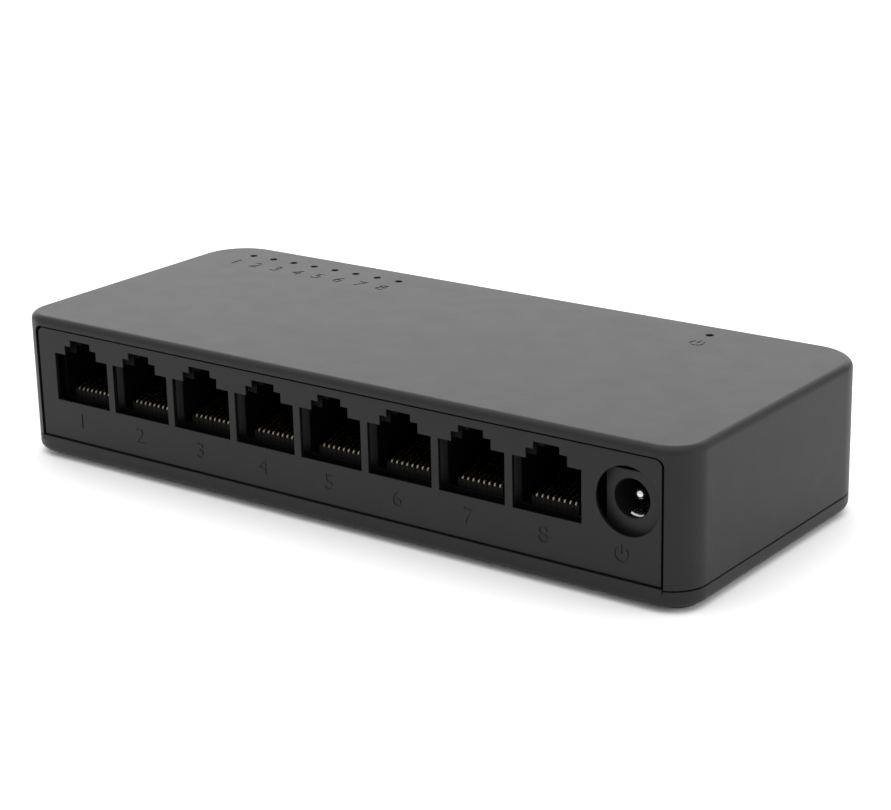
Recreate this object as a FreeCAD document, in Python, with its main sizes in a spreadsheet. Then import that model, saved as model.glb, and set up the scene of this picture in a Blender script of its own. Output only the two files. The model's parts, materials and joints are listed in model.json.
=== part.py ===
import FreeCAD, Part
import math
import os
from types import SimpleNamespace

import Sketcher

# Eight-port desktop network switch in millimetres.
# Origin: on the table under the middle of the case. +Z is up and -Y is the side with the sockets.

doc = FreeCAD.newDocument("desktop_switch")

SIZES = {
    # case
    "body_width": 137.2,
    "body_depth": 58.4,
    "body_height": 26.0,
    "front_corner_radius": 6.0,
    "rear_corner_radius": 9.0,
    "top_edge_radius": 1.3,
    "base_edge_radius": 1.4,
    "wall": 2.0,
    "seam_height": 3.5,
    "seam_gap": 0.2,
    "floor_thickness": 1.8,
    "lip_height": 2.2,
    "lip_thickness": 1.2,
    "fit_gap": 0.15,
    "sill_height": 0.4,
    "opening_top": 24.3,
    # feet
    "foot_height": 0.75,
    "foot_size": 6.5,
    "foot_radius": 1.0,
    "foot_side_inset": 1.8,
    "foot_end_inset": 2.6,
    "foot_recess": 0.4,
    # front panel, which sits back from the rim of the cover
    "panel_width": 128.1,
    "panel_top": 23.95,
    "panel_inset": 0.45,
    "panel_thickness": 1.0,
    "panel_reveal": 0.5,
    "panel_gap": 0.15,
    "flange_thickness": 1.25,
    "flange_reach": 0.95,
    "flange_rise": 0.7,
    "flange_root": 1.0,
    # sockets for the network plugs, on one moulded block
    "port_count": 8,
    "port_pitch": 13.97,
    "first_port": -53.92,
    "port_floor": 11.17,
    "mouth_width": 12.54,
    "mouth_top": 19.72,
    "shoulder_width": 7.5,
    "shoulder_top": 21.37,
    "latch_width": 4.7,
    "latch_top": 22.57,
    "block_setback": 2.35,
    "block_depth": 17.5,
    "block_top": 23.0,
    "block_side": 7.3,
    "cavity_width": 12.3,
    "cavity_floor": 11.3,
    "cavity_top": 19.5,
    "cavity_depth": 12.0,
    "slot_width": 6.7,
    "slot_top": 21.1,
    "key_width": 4.0,
    "key_top": 22.25,
    "chamber_width": 8.4,
    "chamber_depth": 4.2,
    "chamber_top": 12.1,
    # spring wires of the sockets
    "wire_count": 8,
    "wire_pitch": 1.02,
    "wire_width": 0.4,
    "wire_thickness": 0.3,
    "fold_setback": 0.4,
    "fold_radius": 0.45,
    "fold_height": 12.7,
    "arm_slope": 14.5,
    "arm_reach": 6.2,
    "lead_height": 11.55,
    "arm_clearance": 0.1,
    "near_pin_row": 13.4,
    "far_pin_row": 15.2,
    "pin_reach": 1.2,
    "pin_hole": 0.9,
    # power inlet for a 5.5 mm barrel plug
    "inlet_place": 57.95,
    "inlet_height": 16.3,
    "inlet_hole": 11.04,
    "inlet_hole_place": 58.23,
    "inlet_hole_height": 16.42,
    "inlet_setback": 1.75,
    "inlet_width": 9.0,
    "inlet_side": 0.5,
    "inlet_length": 14.2,
    "inlet_top": 20.8,
    "inlet_corner": 0.8,
    "barrel_hole": 6.2,
    "barrel_depth": 9.5,
    "centre_pin": 2.0,
    "pin_setback": 2.7,
    "blade_width": 2.4,
    "blade_thickness": 0.4,
    "leaf_width": 2.2,
    "leaf_thickness": 0.3,
    "leaf_root": 8.0,
    "leaf_crest": 3.4,
    "leaf_tip": 1.5,
    "leaf_root_height": 13.1,
    "leaf_crest_height": 13.95,
    "leaf_tip_height": 13.1,
    "leaf_bend": 1.2,
    "leaf_overrun": 0.2,
    "leaf_slot_floor": 11.6,
    "leaf_slot_top": 14.3,
    "leaf_slot_front": 0.8,
    "leaf_slot_margin": 0.6,
    "leaf_side_gap": 0.3,
    "pin_way": 2.1,
    "blade_setback": 0.05,
    "blade_hole": 3.0,
    # circuit board
    "board_bottom": 8.1,
    "board_thickness": 1.6,
    "board_width": 128.8,
    "board_front": 25.2,
    "board_back": 26.2,
    "board_front_radius": 1.0,
    "board_rear_radius": 5.0,
    # screws and the posts that take them
    "case_screw_side": 62.6,
    "case_screw_row": 4.0,
    "case_post_width": 6.0,
    "case_post_foot": 4.1,
    "case_post_notch": 7.4,
    "case_pilot": 3.0,
    "case_pilot_top": 13.0,
    "case_screw_way": 3.4,
    "case_screw_seat": 6.2,
    "case_head": 5.6,
    "case_head_bottom": 1.0,
    "case_shank": 2.8,
    "case_screw_tip": 11.5,
    "board_screw_left": -34.0,
    "board_screw_right": 26.0,
    "board_screw_row": 9.0,
    "board_post_width": 6.0,
    "board_pilot": 2.4,
    "board_pilot_floor": 3.2,
    "board_screw_way": 2.8,
    "board_head": 4.8,
    "board_head_height": 1.5,
    "board_shank": 2.2,
    "board_screw_tip": 4.0,
    "post_clearance": 0.02,
    "notch_mouth": 4.0,
    "rest_post_side": 52.0,
    "rest_post_row": 15.0,
    "rest_post_width": 4.0,
    # lamps under the top of the cover
    "lamp_pitch": 5.0,
    "first_lamp": -58.56,
    "lamp_row": 23.0,
    "lamp_hole": 1.3,
    "power_lamp_place": 41.5,
    "power_lamp_row": 23.6,
    "shroud_width": 4.4,
    "shroud_hole": 2.4,
    "shroud_gap": 0.1,
    "carrier_length": 1.6,
    "carrier_width": 0.8,
    "carrier_height": 0.35,
    "lens_length": 1.1,
    "lens_overlap": 0.05,
    "lens_height": 0.35,
    # parts soldered to the board, those of one kind alike
    "package_standoff": 0.15,
    "package_chamfer": 0.2,
    "lead_span": 2.4,
    "lead_thickness": 0.18,
    "lead_foot": 0.7,
    "lead_bend": 0.15,
    "lead_centre": 0.1,
    "crystal_length": 11.0,
    "crystal_depth": 4.5,
    "crystal_height": 3.5,
    "crystal_radius": 2.1,
    "crystal_brim": 0.4,
    "crystal_brim_height": 0.5,
    "can_width": 6.3,
    "can_foot_growth": 0.3,
    "can_foot_height": 0.8,
    "can_groove": 0.35,
    "can_groove_height": 1.9,
    "input_can_height": 7.7,
    "output_can_height": 5.8,
    "coil_width": 7.0,
    "coil_height": 3.8,
    "coil_well": 6.0,
    "coil_well_floor": 3.2,
    "coil_post": 4.6,
    "coil_post_height": 3.9,
    "diode_length": 4.3,
    "diode_width": 2.6,
    "diode_height": 2.2,
    "diode_standoff": 0.1,
    "diode_tab_span": 5.2,
    "diode_tab_width": 1.4,
    "diode_tab_height": 1.1,
    "resistor_length": 1.6,
    "resistor_width": 0.8,
    "resistor_height": 0.5,
    "resistor_row": 4.6,
    "resistor_pitch": 2.2,
    "capacitor_length": 1.6,
    "capacitor_width": 0.8,
    "capacitor_pitch": 2.6,
    "capacitor_offset": 10.2,
    "transformer_row": -1.8,
}

# where the larger parts stand on the board, as (x, y)
PLACES = {
    "switch_chip": (-4.0, 12.0),
    "memory_chip": (14.0, 17.0),
    "regulator_chip": (45.5, 6.5),
    "clock_crystal": (-22.0, 14.0),
    "input_capacitor": (56.0, -6.5),
    "output_capacitor": (42.0, 13.5),
    "power_inductor": (53.5, 7.0),
    "input_diode": (47.0, -4.0),
}

# moulded packages, as (width, depth, height, lead spacing, leads in a row, lead width)
FLAT_PACKAGE = (14.0, 14.0, 1.5, 0.65, 20, 0.3)
SMALL_PACKAGE = (4.9, 3.9, 1.5, 1.27, 4, 0.4)
TRANSFORMER_PACKAGE = (12.7, 6.8, 5.6, 1.27, 8, 0.4)


class Size:
    """A length known both as a number and as the sheet expression that gives it."""

    def __init__(self, number, text):
        self.number = number
        self.text = text

    def __float__(self):
        return float(self.number)

    def __neg__(self):
        return Size(-self.number, f"(0 - {self.text})")

    def __add__(self, other):
        other = as_size(other)
        return Size(self.number + other.number, f"({self.text} + {other.text})")

    def __sub__(self, other):
        other = as_size(other)
        return Size(self.number - other.number, f"({self.text} - {other.text})")

    def __mul__(self, other):
        other = as_size(other)
        return Size(self.number * other.number, f"({self.text} * {other.text})")

    def __truediv__(self, other):
        other = as_size(other)
        return Size(self.number / other.number, f"({self.text} / {other.text})")


def as_size(value):
    return value if isinstance(value, Size) else Size(value, f"({value})")


def fill_sheet():
    """Write every driving dimension to the sheet and return them as Size values."""
    sheet = doc.addObject("Spreadsheet::Sheet", "Sizes")
    for row, (alias, number) in enumerate(SIZES.items(), start=1):
        sheet.set(f"A{row}", alias)
        sheet.set(f"B{row}", str(number))
        sheet.setAlias(f"B{row}", alias)
    doc.recompute()
    return SimpleNamespace(**{alias: Size(sheet.get(alias), f"Sizes.{alias}") for alias in SIZES})


S = fill_sheet()
nodes = {}


def node(label, shape_object):
    """Name a finished sub-part; the label is also the name of its file."""
    shape_object.Label = label
    nodes[label] = shape_object
    return shape_object


# ---------------------------------------------------------------- building blocks

def bind(thing, **properties):
    """Tie properties to the sheet; a double underscore stands for a dot."""
    for name, value in properties.items():
        thing.setExpression(name.replace("__", "."), as_size(value).text)


def place(thing, x, y, z):
    bind(thing, Placement__Base__x=x, Placement__Base__y=y, Placement__Base__z=z)


def box(name, x, y, z):
    """A box between two places on each axis."""
    made = doc.addObject("Part::Box", name)
    low_x, low_y, low_z = (as_size(pair[0]) for pair in (x, y, z))
    bind(made, Length=as_size(x[1]) - low_x, Width=as_size(y[1]) - low_y, Height=as_size(z[1]) - low_z)
    place(made, low_x, low_y, low_z)
    return made


def centred_box(name, centre, width, depth, z):
    """A box with its middle over a point, between two heights."""
    x, y = (as_size(value) for value in centre)
    half_width, half_depth = as_size(width) / 2, as_size(depth) / 2
    return box(name, (x - half_width, x + half_width), (y - half_depth, y + half_depth), z)


def upright(name, diameter, centre, z):
    """A vertical cylinder between two heights."""
    made = doc.addObject("Part::Cylinder", name)
    bind(made, Radius=as_size(diameter) / 2, Height=as_size(z[1]) - z[0])
    place(made, centre[0], centre[1], z[0])
    return made


def level(name, diameter, x, z, y):
    """A cylinder along Y between two depths."""
    made = doc.addObject("Part::Cylinder", name)
    made.Placement = FreeCAD.Placement(FreeCAD.Vector(), FreeCAD.Rotation(FreeCAD.Vector(1, 0, 0), -90))
    bind(made, Radius=as_size(diameter) / 2, Height=as_size(y[1]) - y[0])
    place(made, x, y[0], z)
    return made


def fuse(name, parts):
    joined = doc.addObject("Part::MultiFuse", name)
    joined.Shapes = parts
    return joined


def cut(name, base, tools):
    made = doc.addObject("Part::Cut", name)
    made.Base = base
    made.Tool = fuse(name + "_cutters", tools) if len(tools) > 1 else tools[0]
    return made


def fixed(name, solids):
    """A sub-part whose shape is worked out here from the sheet's numbers."""
    made = doc.addObject("Part::Feature", name)
    made.Shape = solids[0] if len(solids) == 1 else Part.makeCompound(solids)
    made.Placement = FreeCAD.Placement()
    return made


def origin_plane(body, role):
    return next(plane for plane in body.Origin.OriginFeatures if plane.Role == role)


def outline(body, name, height, half_width, front, back, front_radius, rear_radius):
    """A sketch of a rectangle with round corners, level with the ground at one height."""
    sketch = body.newObject("Sketcher::SketchObject", name)
    sketch.AttachmentSupport = (origin_plane(body, "XY_Plane"), [""])
    sketch.MapMode = "FlatFace"
    sketch.setExpression("AttachmentOffset.Base.z", as_size(height).text)
    half, low, high = float(half_width), float(front), float(back)
    near, far = float(front_radius), float(rear_radius)
    point = FreeCAD.Vector
    corners = [
        (half - near, low + near, near, -90),
        (half - far, high - far, far, 0),
        (-half + far, high - far, far, 90),
        (-half + near, low + near, near, 180),
    ]
    for x, y, radius, start in corners:
        circle = Part.Circle(point(x, y, 0), point(0, 0, 1), radius)
        sketch.addGeometry(Part.ArcOfCircle(circle, math.radians(start), math.radians(start + 90)))
    ends = [(half, low + near, half, high - far), (half - far, high, -half + far, high),
            (-half, high - far, -half, low + near), (-half + near, low, half - near, low)]
    for x0, y0, x1, y1 in ends:
        sketch.addGeometry(Part.LineSegment(point(x0, y0, 0), point(x1, y1, 0)))
    for side in range(4):
        sketch.addConstraint(Sketcher.Constraint("Tangent", side, 2, side + 4, 1))
        sketch.addConstraint(Sketcher.Constraint("Tangent", side + 4, 2, (side + 1) % 4, 1))
    for side, way in ((4, "Vertical"), (5, "Horizontal"), (6, "Vertical"), (7, "Horizontal")):
        sketch.addConstraint(Sketcher.Constraint(way, side))
    sized = [("Radius", (0,), front_radius), ("Radius", (1,), rear_radius),
             ("Radius", (2,), rear_radius), ("Radius", (3,), front_radius),
             ("DistanceX", (-1, 1, 4, 1), half_width), ("DistanceX", (6, 1, -1, 1), half_width),
             ("DistanceY", (-1, 1, 5, 1), back), ("DistanceY", (7, 1, -1, 1), -as_size(front))]
    for kind, where, value in sized:
        index = sketch.addConstraint(Sketcher.Constraint(kind, *where, float(value)))
        sketch.setExpression(f"Constraints[{index}]", as_size(value).text)
    return sketch


def pad(body, sketch, height):
    made = body.newObject("PartDesign::Pad", sketch.Name + "_pad")
    made.Profile = sketch
    bind(made, Length=height)
    sketch.Visibility = False
    doc.recompute()
    return made


def pocket(body, sketch, depth, reversed_way):
    """Cut a sketch's outline out of a body, and make sure that it took material away."""
    before = body.Shape.Volume
    made = body.newObject("PartDesign::Pocket", sketch.Name + "_pocket")
    made.Profile = sketch
    made.Reversed = reversed_way
    bind(made, Length=depth)
    doc.recompute()
    if body.Shape.Volume >= before:
        raise RuntimeError(f"{made.Name} took nothing away")
    return made


def round_edges(body, base, height, radius):
    """Round the edges of a body that lie wholly at one height."""
    names = [f"Edge{number}" for number, edge in enumerate(base.Shape.Edges, start=1)
             if all(abs(vertex.Z - float(height)) < 1e-4 for vertex in edge.Vertexes)]
    made = body.newObject("PartDesign::Fillet", body.Name + "_round")
    made.Base = (base, names)
    bind(made, Radius=radius)
    doc.recompute()
    return made


def strip(path, thickness, width, x):
    """A flat strip bent along corners given as (y, z, radius), with its middle at x."""
    def side(offset):
        places = [FreeCAD.Vector(0, y, z) for y, z, _ in path]
        ways = [(b - a).normalize() for a, b in zip(places, places[1:])]
        normals = [FreeCAD.Vector(0, -way.z, way.y) for way in ways]
        edges, last = [], places[0] + normals[0] * offset
        for index in range(1, len(places) - 1):
            before, after = ways[index - 1], ways[index]
            both = normals[index - 1] + normals[index]
            corner = places[index] + both * (offset / (1 + normals[index - 1].dot(normals[index])))
            turn = before.y * after.z - before.z * after.y
            radius = path[index][2] - math.copysign(offset, turn)
            angle = math.acos(max(-1.0, min(1.0, before.dot(after))))
            run = radius * math.tan(angle / 2)
            start, end = corner - before * run, corner + after * run
            inward = (after - before).normalize()
            middle = corner + inward * (radius / math.cos(angle / 2) - radius)
            if (start - last).Length > 1e-6:
                edges.append(Part.LineSegment(last, start).toShape())
            edges.append(Part.Arc(start, middle, end).toShape())
            last = end
        finish = places[-1] + normals[-1] * offset
        edges.append(Part.LineSegment(last, finish).toShape())
        return edges, places[0] + normals[0] * offset, finish

    half = float(thickness) / 2
    upper, upper_start, upper_end = side(half)
    lower, lower_start, lower_end = side(-half)
    caps = [Part.LineSegment(upper_start, lower_start).toShape(),
            Part.LineSegment(upper_end, lower_end).toShape()]
    face = Part.Face(Part.Wire(Part.__sortEdges__(upper + lower + caps)))
    face.translate(FreeCAD.Vector(x - float(width) / 2, 0, 0))
    return face.extrude(FreeCAD.Vector(float(width), 0, 0))


# ---------------------------------------------------------------- places worked out from the sizes

case_front = -S.body_depth / 2
case_back = S.body_depth / 2
inner_half_width = S.body_width / 2 - S.wall
inner_back = case_back - S.wall
inner_top = S.body_height - S.wall
cover_bottom = S.seam_height + S.seam_gap
floor_top = S.foot_height + S.floor_thickness
panel_front = case_front + S.panel_inset
panel_back = panel_front + S.panel_thickness
sill_top = S.seam_height + S.sill_height
panel_bottom = sill_top + S.seam_gap
opening_half = S.panel_width / 2 + S.panel_reveal
rim_back = panel_back - S.seam_gap / 2
board_top = S.board_bottom + S.board_thickness
block_front = panel_front + S.block_setback
inlet_front = panel_front + S.inlet_setback
past = Size(1.0, "1")


def port_places():
    return [S.first_port + S.port_pitch * index for index in range(int(float(S.port_count)))]


def wire_places(port):
    """Where one socket's wires lie across the case."""
    count = int(float(S.wire_count))
    return [float(port) + (index - (count - 1) / 2) * float(S.wire_pitch) for index in range(count)]


def lamp_places():
    return [S.first_lamp + S.lamp_pitch * index for index in range(int(float(S.port_count)))]


def stepped_hole(name, port, steps, floor, y):
    """The stepped outline of a network socket: a wide mouth and a narrower step or two above it."""
    return [box(f"{name}_{number}", (port - width / 2, port + width / 2), y, (floor, top))
            for number, (width, top) in enumerate(steps, start=1)]


# ---------------------------------------------------------------- case

def make_top_cover():
    """The moulded cover: top, both sides and back, with a rim round the front panel."""
    body = doc.addObject("PartDesign::Body", "cover_shell")
    outside = outline(body, "cover_outside", cover_bottom, S.body_width / 2, case_front, case_back,
                      S.front_corner_radius, S.rear_corner_radius)
    block = pad(body, outside, S.body_height - cover_bottom)
    round_edges(body, block, S.body_height, S.top_edge_radius)
    inside = outline(body, "cover_inside", cover_bottom, inner_half_width, rim_back, inner_back,
                     S.front_corner_radius - S.wall, S.rear_corner_radius - S.wall)
    pocket(body, inside, inner_top - cover_bottom, True)

    case_row = S.case_screw_row
    posts = [upright(f"cover_post_{side}", S.case_post_width, (S.case_screw_side * way, case_row),
                     (S.case_post_foot, inner_top + past / 2)) for side, way in (("left", -1), ("right", 1))]
    cutters = [
        box("panel_opening", (-opening_half, opening_half), (case_front - past, rim_back + past),
            (cover_bottom - past, S.opening_top)),
        box("panel_groove", (-opening_half - S.flange_reach, opening_half + S.flange_reach),
            (rim_back, panel_back + S.flange_thickness + S.panel_gap),
            (cover_bottom - past, S.panel_top + S.flange_rise + S.panel_gap)),
    ]
    cutters += [upright(f"cover_pilot_{side}", S.case_pilot, (S.case_screw_side * way, case_row),
                        (0, S.case_pilot_top))
                for side, way in (("left", -1), ("right", 1))]
    through = (inner_top - past, S.body_height + past)
    cutters += [upright(f"lamp_hole_{number}", S.lamp_hole, (x, S.lamp_row), through)
                for number, x in enumerate(lamp_places(), start=1)]
    cutters.append(upright("power_lamp_hole", S.lamp_hole, (S.power_lamp_place, S.power_lamp_row), through))
    node("top_cover", cut("cover", fuse("cover_with_posts", [body] + posts), cutters))


def board_post(name, centre, width, top, pilot):
    """A post on the floor of the base, with a blind hole for a screw where pilot is not zero."""
    post = upright(name, width, centre, (floor_top - past / 2, top))
    if not pilot:
        return post
    bore = upright(name + "_pilot", pilot, centre, (S.board_pilot_floor, top + past))
    return cut(name + "_drilled", post, [bore])


def make_base_tray():
    """The shallow base: a floor with a rim that the cover meets, a lip inside it, and the posts."""
    body = doc.addObject("PartDesign::Body", "base_shell")
    outside = outline(body, "base_outside", S.foot_height, S.body_width / 2, case_front, case_back,
                      S.front_corner_radius, S.rear_corner_radius)
    block = pad(body, outside, S.seam_height - S.foot_height)
    round_edges(body, block, S.foot_height, S.base_edge_radius)
    inside = outline(body, "base_inside", S.seam_height, inner_half_width, case_front + S.wall + past,
                     inner_back, S.front_corner_radius - S.wall, S.rear_corner_radius - S.wall)
    pocket(body, inside, S.seam_height - floor_top, False)

    lip = doc.addObject("PartDesign::Body", "base_lip")
    lip_half = inner_half_width - S.fit_gap
    lip_front = panel_back + S.flange_thickness + S.panel_gap * 2
    lip_outside = outline(lip, "lip_outside", floor_top - past / 2, lip_half, lip_front,
                          inner_back - S.fit_gap, S.front_corner_radius - S.wall,
                          S.rear_corner_radius - S.wall)
    pad(lip, lip_outside, S.seam_height + S.lip_height - floor_top + past / 2)
    lip_inside = outline(lip, "lip_inside", floor_top - past, lip_half - S.lip_thickness,
                         lip_front + S.lip_thickness, inner_back - S.fit_gap - S.lip_thickness,
                         S.front_corner_radius - S.wall - S.lip_thickness,
                         S.rear_corner_radius - S.wall - S.lip_thickness)
    pocket(lip, lip_inside, S.lip_height * 4, True)

    sill_half = opening_half - S.fit_gap
    sill = box("front_sill", (-sill_half, sill_half), (case_front, case_front + S.wall),
               (S.seam_height - past / 2, sill_top))

    case_row, board_row = S.case_screw_row, S.board_screw_row
    parts = [body, lip, sill]
    cutters = []
    for side, way in (("left", -1), ("right", 1)):
        centre = (S.case_screw_side * way, case_row)
        parts.append(upright(f"screw_pad_{side}", S.case_post_width + past, centre,
                             (floor_top - past / 2, S.case_post_foot - S.seam_gap)))
        parts.append(board_post(f"rest_post_{side}", (S.rest_post_side * way, S.rest_post_row),
                                S.rest_post_width, S.board_bottom - S.post_clearance, 0))
        cutters.append(upright(f"screw_way_{side}", S.case_screw_way, centre, (0, S.case_post_foot)))
        cutters.append(upright(f"screw_seat_{side}", S.case_screw_seat, centre, (0, floor_top - past / 2)))
        cutters.append(upright(f"post_room_{side}", S.case_post_width + S.fit_gap * 2, centre,
                               (S.case_post_foot - S.seam_gap, S.seam_height + S.lip_height + past)))
        place_x = S.board_screw_left if way < 0 else S.board_screw_right
        parts.append(board_post(f"board_post_{side}", (place_x, board_row), S.board_post_width,
                                S.board_bottom - S.post_clearance, S.board_pilot))
    cutters += [foot_shape(f"foot_pocket_{corner}", ways, S.foot_height + S.foot_recess, S.fit_gap)
                for corner, ways in CORNERS.items()]
    node("base_tray", cut("base", fuse("base_with_posts", parts), cutters))


CORNERS = {"front_left": (-1, -1), "front_right": (1, -1), "rear_left": (-1, 1), "rear_right": (1, 1)}


def foot_shape(name, ways, top, growth):
    """A pad under one corner of the case, whose outer corner follows the corner of the case."""
    half = S.foot_size / 2 + growth
    square = doc.addObject("PartDesign::Body", name + "_square")
    sketch = outline(square, name + "_outline", 0, half, -half, half, S.foot_radius, S.foot_radius)
    pad(square, sketch, top)
    x = (S.body_width / 2 - S.foot_side_inset - S.foot_size / 2) * ways[0]
    y = (case_back - S.foot_end_inset - S.foot_size / 2) * ways[1]
    place(square, x, y, 0)

    inset = S.foot_side_inset - growth
    limit = doc.addObject("PartDesign::Body", name + "_limit")
    sketch = outline(limit, name + "_edge", 0, S.body_width / 2 - inset, case_front + inset,
                     case_back - inset, S.front_corner_radius - inset, S.rear_corner_radius - inset)
    pad(limit, sketch, top + past)
    made = doc.addObject("Part::Common", name)
    made.Base, made.Tool = square, limit
    return made


def make_feet():
    for corner, ways in CORNERS.items():
        top = S.foot_height + S.foot_recess - S.seam_gap / 4
        node(f"foot_{corner}", foot_shape(f"pad_{corner}", ways, top, as_size(0)))


def make_front_panel():
    """The flat panel round the sockets, held by a thin flange behind the cover's rim."""
    half = S.panel_width / 2
    plate = box("panel_plate", (-half, half), (panel_front, panel_back), (panel_bottom, S.panel_top))
    reach = half + S.flange_reach
    back = panel_back + S.flange_thickness
    flange = box("panel_flange", (-reach, reach), (panel_back - past / 10, back),
                 (panel_bottom, S.panel_top + S.flange_rise))
    root = S.flange_root
    inside = box("flange_inside", (-half + root, half - root), (panel_back, back + past),
                 (panel_bottom - past, S.panel_top - root / 2))
    lip_relief = box("lip_relief", (-reach - past, reach + past), (panel_back, back + past),
                     (0, S.seam_height + past / 2))
    ways_through = (panel_front - past, back + past)
    holes = [level("inlet_hole", S.inlet_hole, S.inlet_hole_place, S.inlet_hole_height, ways_through)]
    steps = [(S.mouth_width, S.mouth_top), (S.shoulder_width, S.shoulder_top),
             (S.latch_width, S.latch_top)]
    for number, port in enumerate(port_places(), start=1):
        holes += stepped_hole(f"mouth_{number}", port, steps, S.port_floor, ways_through)
    rim = cut("panel_rim", flange, [inside, lip_relief])
    node("front_panel", cut("panel", fuse("panel_with_rim", [plate, rim]), holes))


# ---------------------------------------------------------------- circuit board and screws

def make_circuit_board():
    """The board, notched for the cover's posts and drilled for every pin that goes through it."""
    body = doc.addObject("PartDesign::Body", "board_blank")
    sketch = outline(body, "board_outline", S.board_bottom, S.board_width / 2, -S.board_front, S.board_back,
                     S.board_front_radius, S.board_rear_radius)
    pad(body, sketch, S.board_thickness)
    through = (S.board_bottom - past, board_top + past)
    cutters = []
    for side, way in (("left", -1), ("right", 1)):
        centre = (S.case_screw_side * way, S.case_screw_row)
        cutters.append(upright(f"post_notch_{side}", S.case_post_notch, centre, through))
        edge = (S.board_width / 2 * way, S.case_screw_row)
        cutters.append(centred_box(f"post_mouth_{side}", edge, S.notch_mouth, S.case_post_notch, through))
        hole = (S.board_screw_left if way < 0 else S.board_screw_right, S.board_screw_row)
        cutters.append(upright(f"board_hole_{side}", S.board_screw_way, hole, through))
    rows = (block_front + S.near_pin_row, block_front + S.far_pin_row)
    for port_number, port in enumerate(port_places(), start=1):
        for index in range(int(float(S.wire_count))):
            x = port + S.wire_pitch * (index - (float(S.wire_count) - 1) / 2)
            centre = (x, rows[index % 2])
            cutters.append(upright(f"pin_hole_{port_number}_{index + 1}", S.pin_hole, centre, through))
    blades = (("centre", inlet_rear + S.blade_thickness / 2 + S.blade_setback),
              ("sleeve", inlet_front + S.leaf_root))
    for name, y in blades:
        cutters.append(upright(f"{name}_blade_hole", S.blade_hole, (S.inlet_place, y), through))
    node("circuit_board", cut("board", body, cutters))


def screw(name, centre, head_z, head_width, shank_width, tip_z, upwards):
    """A pan-head screw with a cross recess left to the finish, as one solid."""
    head = upright(name + "_head", head_width, centre, head_z)
    shank_z = (head_z[1], tip_z) if upwards else (tip_z, head_z[0])
    shank = upright(name + "_shank", shank_width, centre, shank_z)
    return fuse(name, [head, shank])


def make_screws():
    case, board = [], []
    for side, way in (("left", -1), ("right", 1)):
        case.append(screw(f"case_screw_{side}", (S.case_screw_side * way, S.case_screw_row),
                          (S.case_head_bottom, floor_top - past / 2), S.case_head, S.case_shank,
                          S.case_screw_tip, True))
        place_x = S.board_screw_left if way < 0 else S.board_screw_right
        board.append(screw(f"board_screw_{side}", (place_x, S.board_screw_row),
                           (board_top, board_top + S.board_head_height), S.board_head, S.board_shank,
                           S.board_screw_tip, False))
    for label, pair in (("case_screws", case), ("board_screws", board)):
        group = doc.addObject("Part::Compound", label + "_group")
        group.Links = pair
        node(label, group)


# ---------------------------------------------------------------- network sockets

def make_port_housing():
    """One moulding with all the sockets side by side."""
    places = port_places()
    blank = box("housing_blank", (places[0] - S.block_side, places[-1] + S.block_side),
                (block_front, block_front + S.block_depth), (board_top, S.block_top))
    y = (block_front - past, block_front + S.cavity_depth)
    chamber_y = (block_front + S.cavity_depth - past / 5, block_front + S.cavity_depth + S.chamber_depth)
    cutters = []
    for number, port in enumerate(places, start=1):
        steps = [(S.cavity_width, S.cavity_top), (S.slot_width, S.slot_top), (S.key_width, S.key_top)]
        cutters += stepped_hole(f"cavity_{number}", port, steps, S.cavity_floor, y)
        half = S.chamber_width / 2
        cutters.append(box(f"chamber_{number}", (port - half, port + half), chamber_y,
                           (board_top - past, S.chamber_top)))
    node("port_housing", cut("housing", blank, cutters))


def fold_places():
    """The centre of the fold at the front of every wire, as (y, z)."""
    return float(block_front + S.fold_setback + S.fold_radius), float(S.fold_height)


def spring_arm(x):
    """The free arm of one wire: up round the fold, then a straight slope to the rear."""
    fold_y, fold_z = fold_places()
    radius, slope = float(S.fold_radius), math.radians(float(S.arm_slope))
    front = fold_y - radius
    corner_z = fold_z + radius * math.tan((math.pi / 2 - slope) / 2)
    reach = float(S.arm_reach)
    tip = (front + reach, corner_z + reach * math.tan(slope), 0)
    path = [(front, fold_z, 0), (front, corner_z, radius), tip]
    return strip(path, S.wire_thickness, S.wire_width, x)


def fixed_lead(x, row):
    """The rest of the wire: down from the fold, back under the socket and down through the board."""
    fold_y, fold_z = fold_places()
    radius = float(S.fold_radius)
    front = fold_y - radius
    rear = float(block_front + row)
    run = float(S.lead_height)
    path = [(front, fold_z - float(S.arm_clearance), 0), (front, run, radius), (rear, run, radius),
            (rear, float(S.board_bottom - S.pin_reach), 0)]
    return strip(path, S.wire_thickness, S.wire_width, x)


def make_contacts():
    rows = (S.near_pin_row, S.far_pin_row)
    for number, port in enumerate(port_places(), start=1):
        places = wire_places(port)
        node(f"port_{number}_spring_contacts", fixed(f"arms_{number}", [spring_arm(x) for x in places]))
        leads = [fixed_lead(x, rows[index % 2]) for index, x in enumerate(places)]
        node(f"port_{number}_contact_leads", fixed(f"leads_{number}", leads))


# ---------------------------------------------------------------- power inlet

inlet_rear = inlet_front + S.inlet_length


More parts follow.
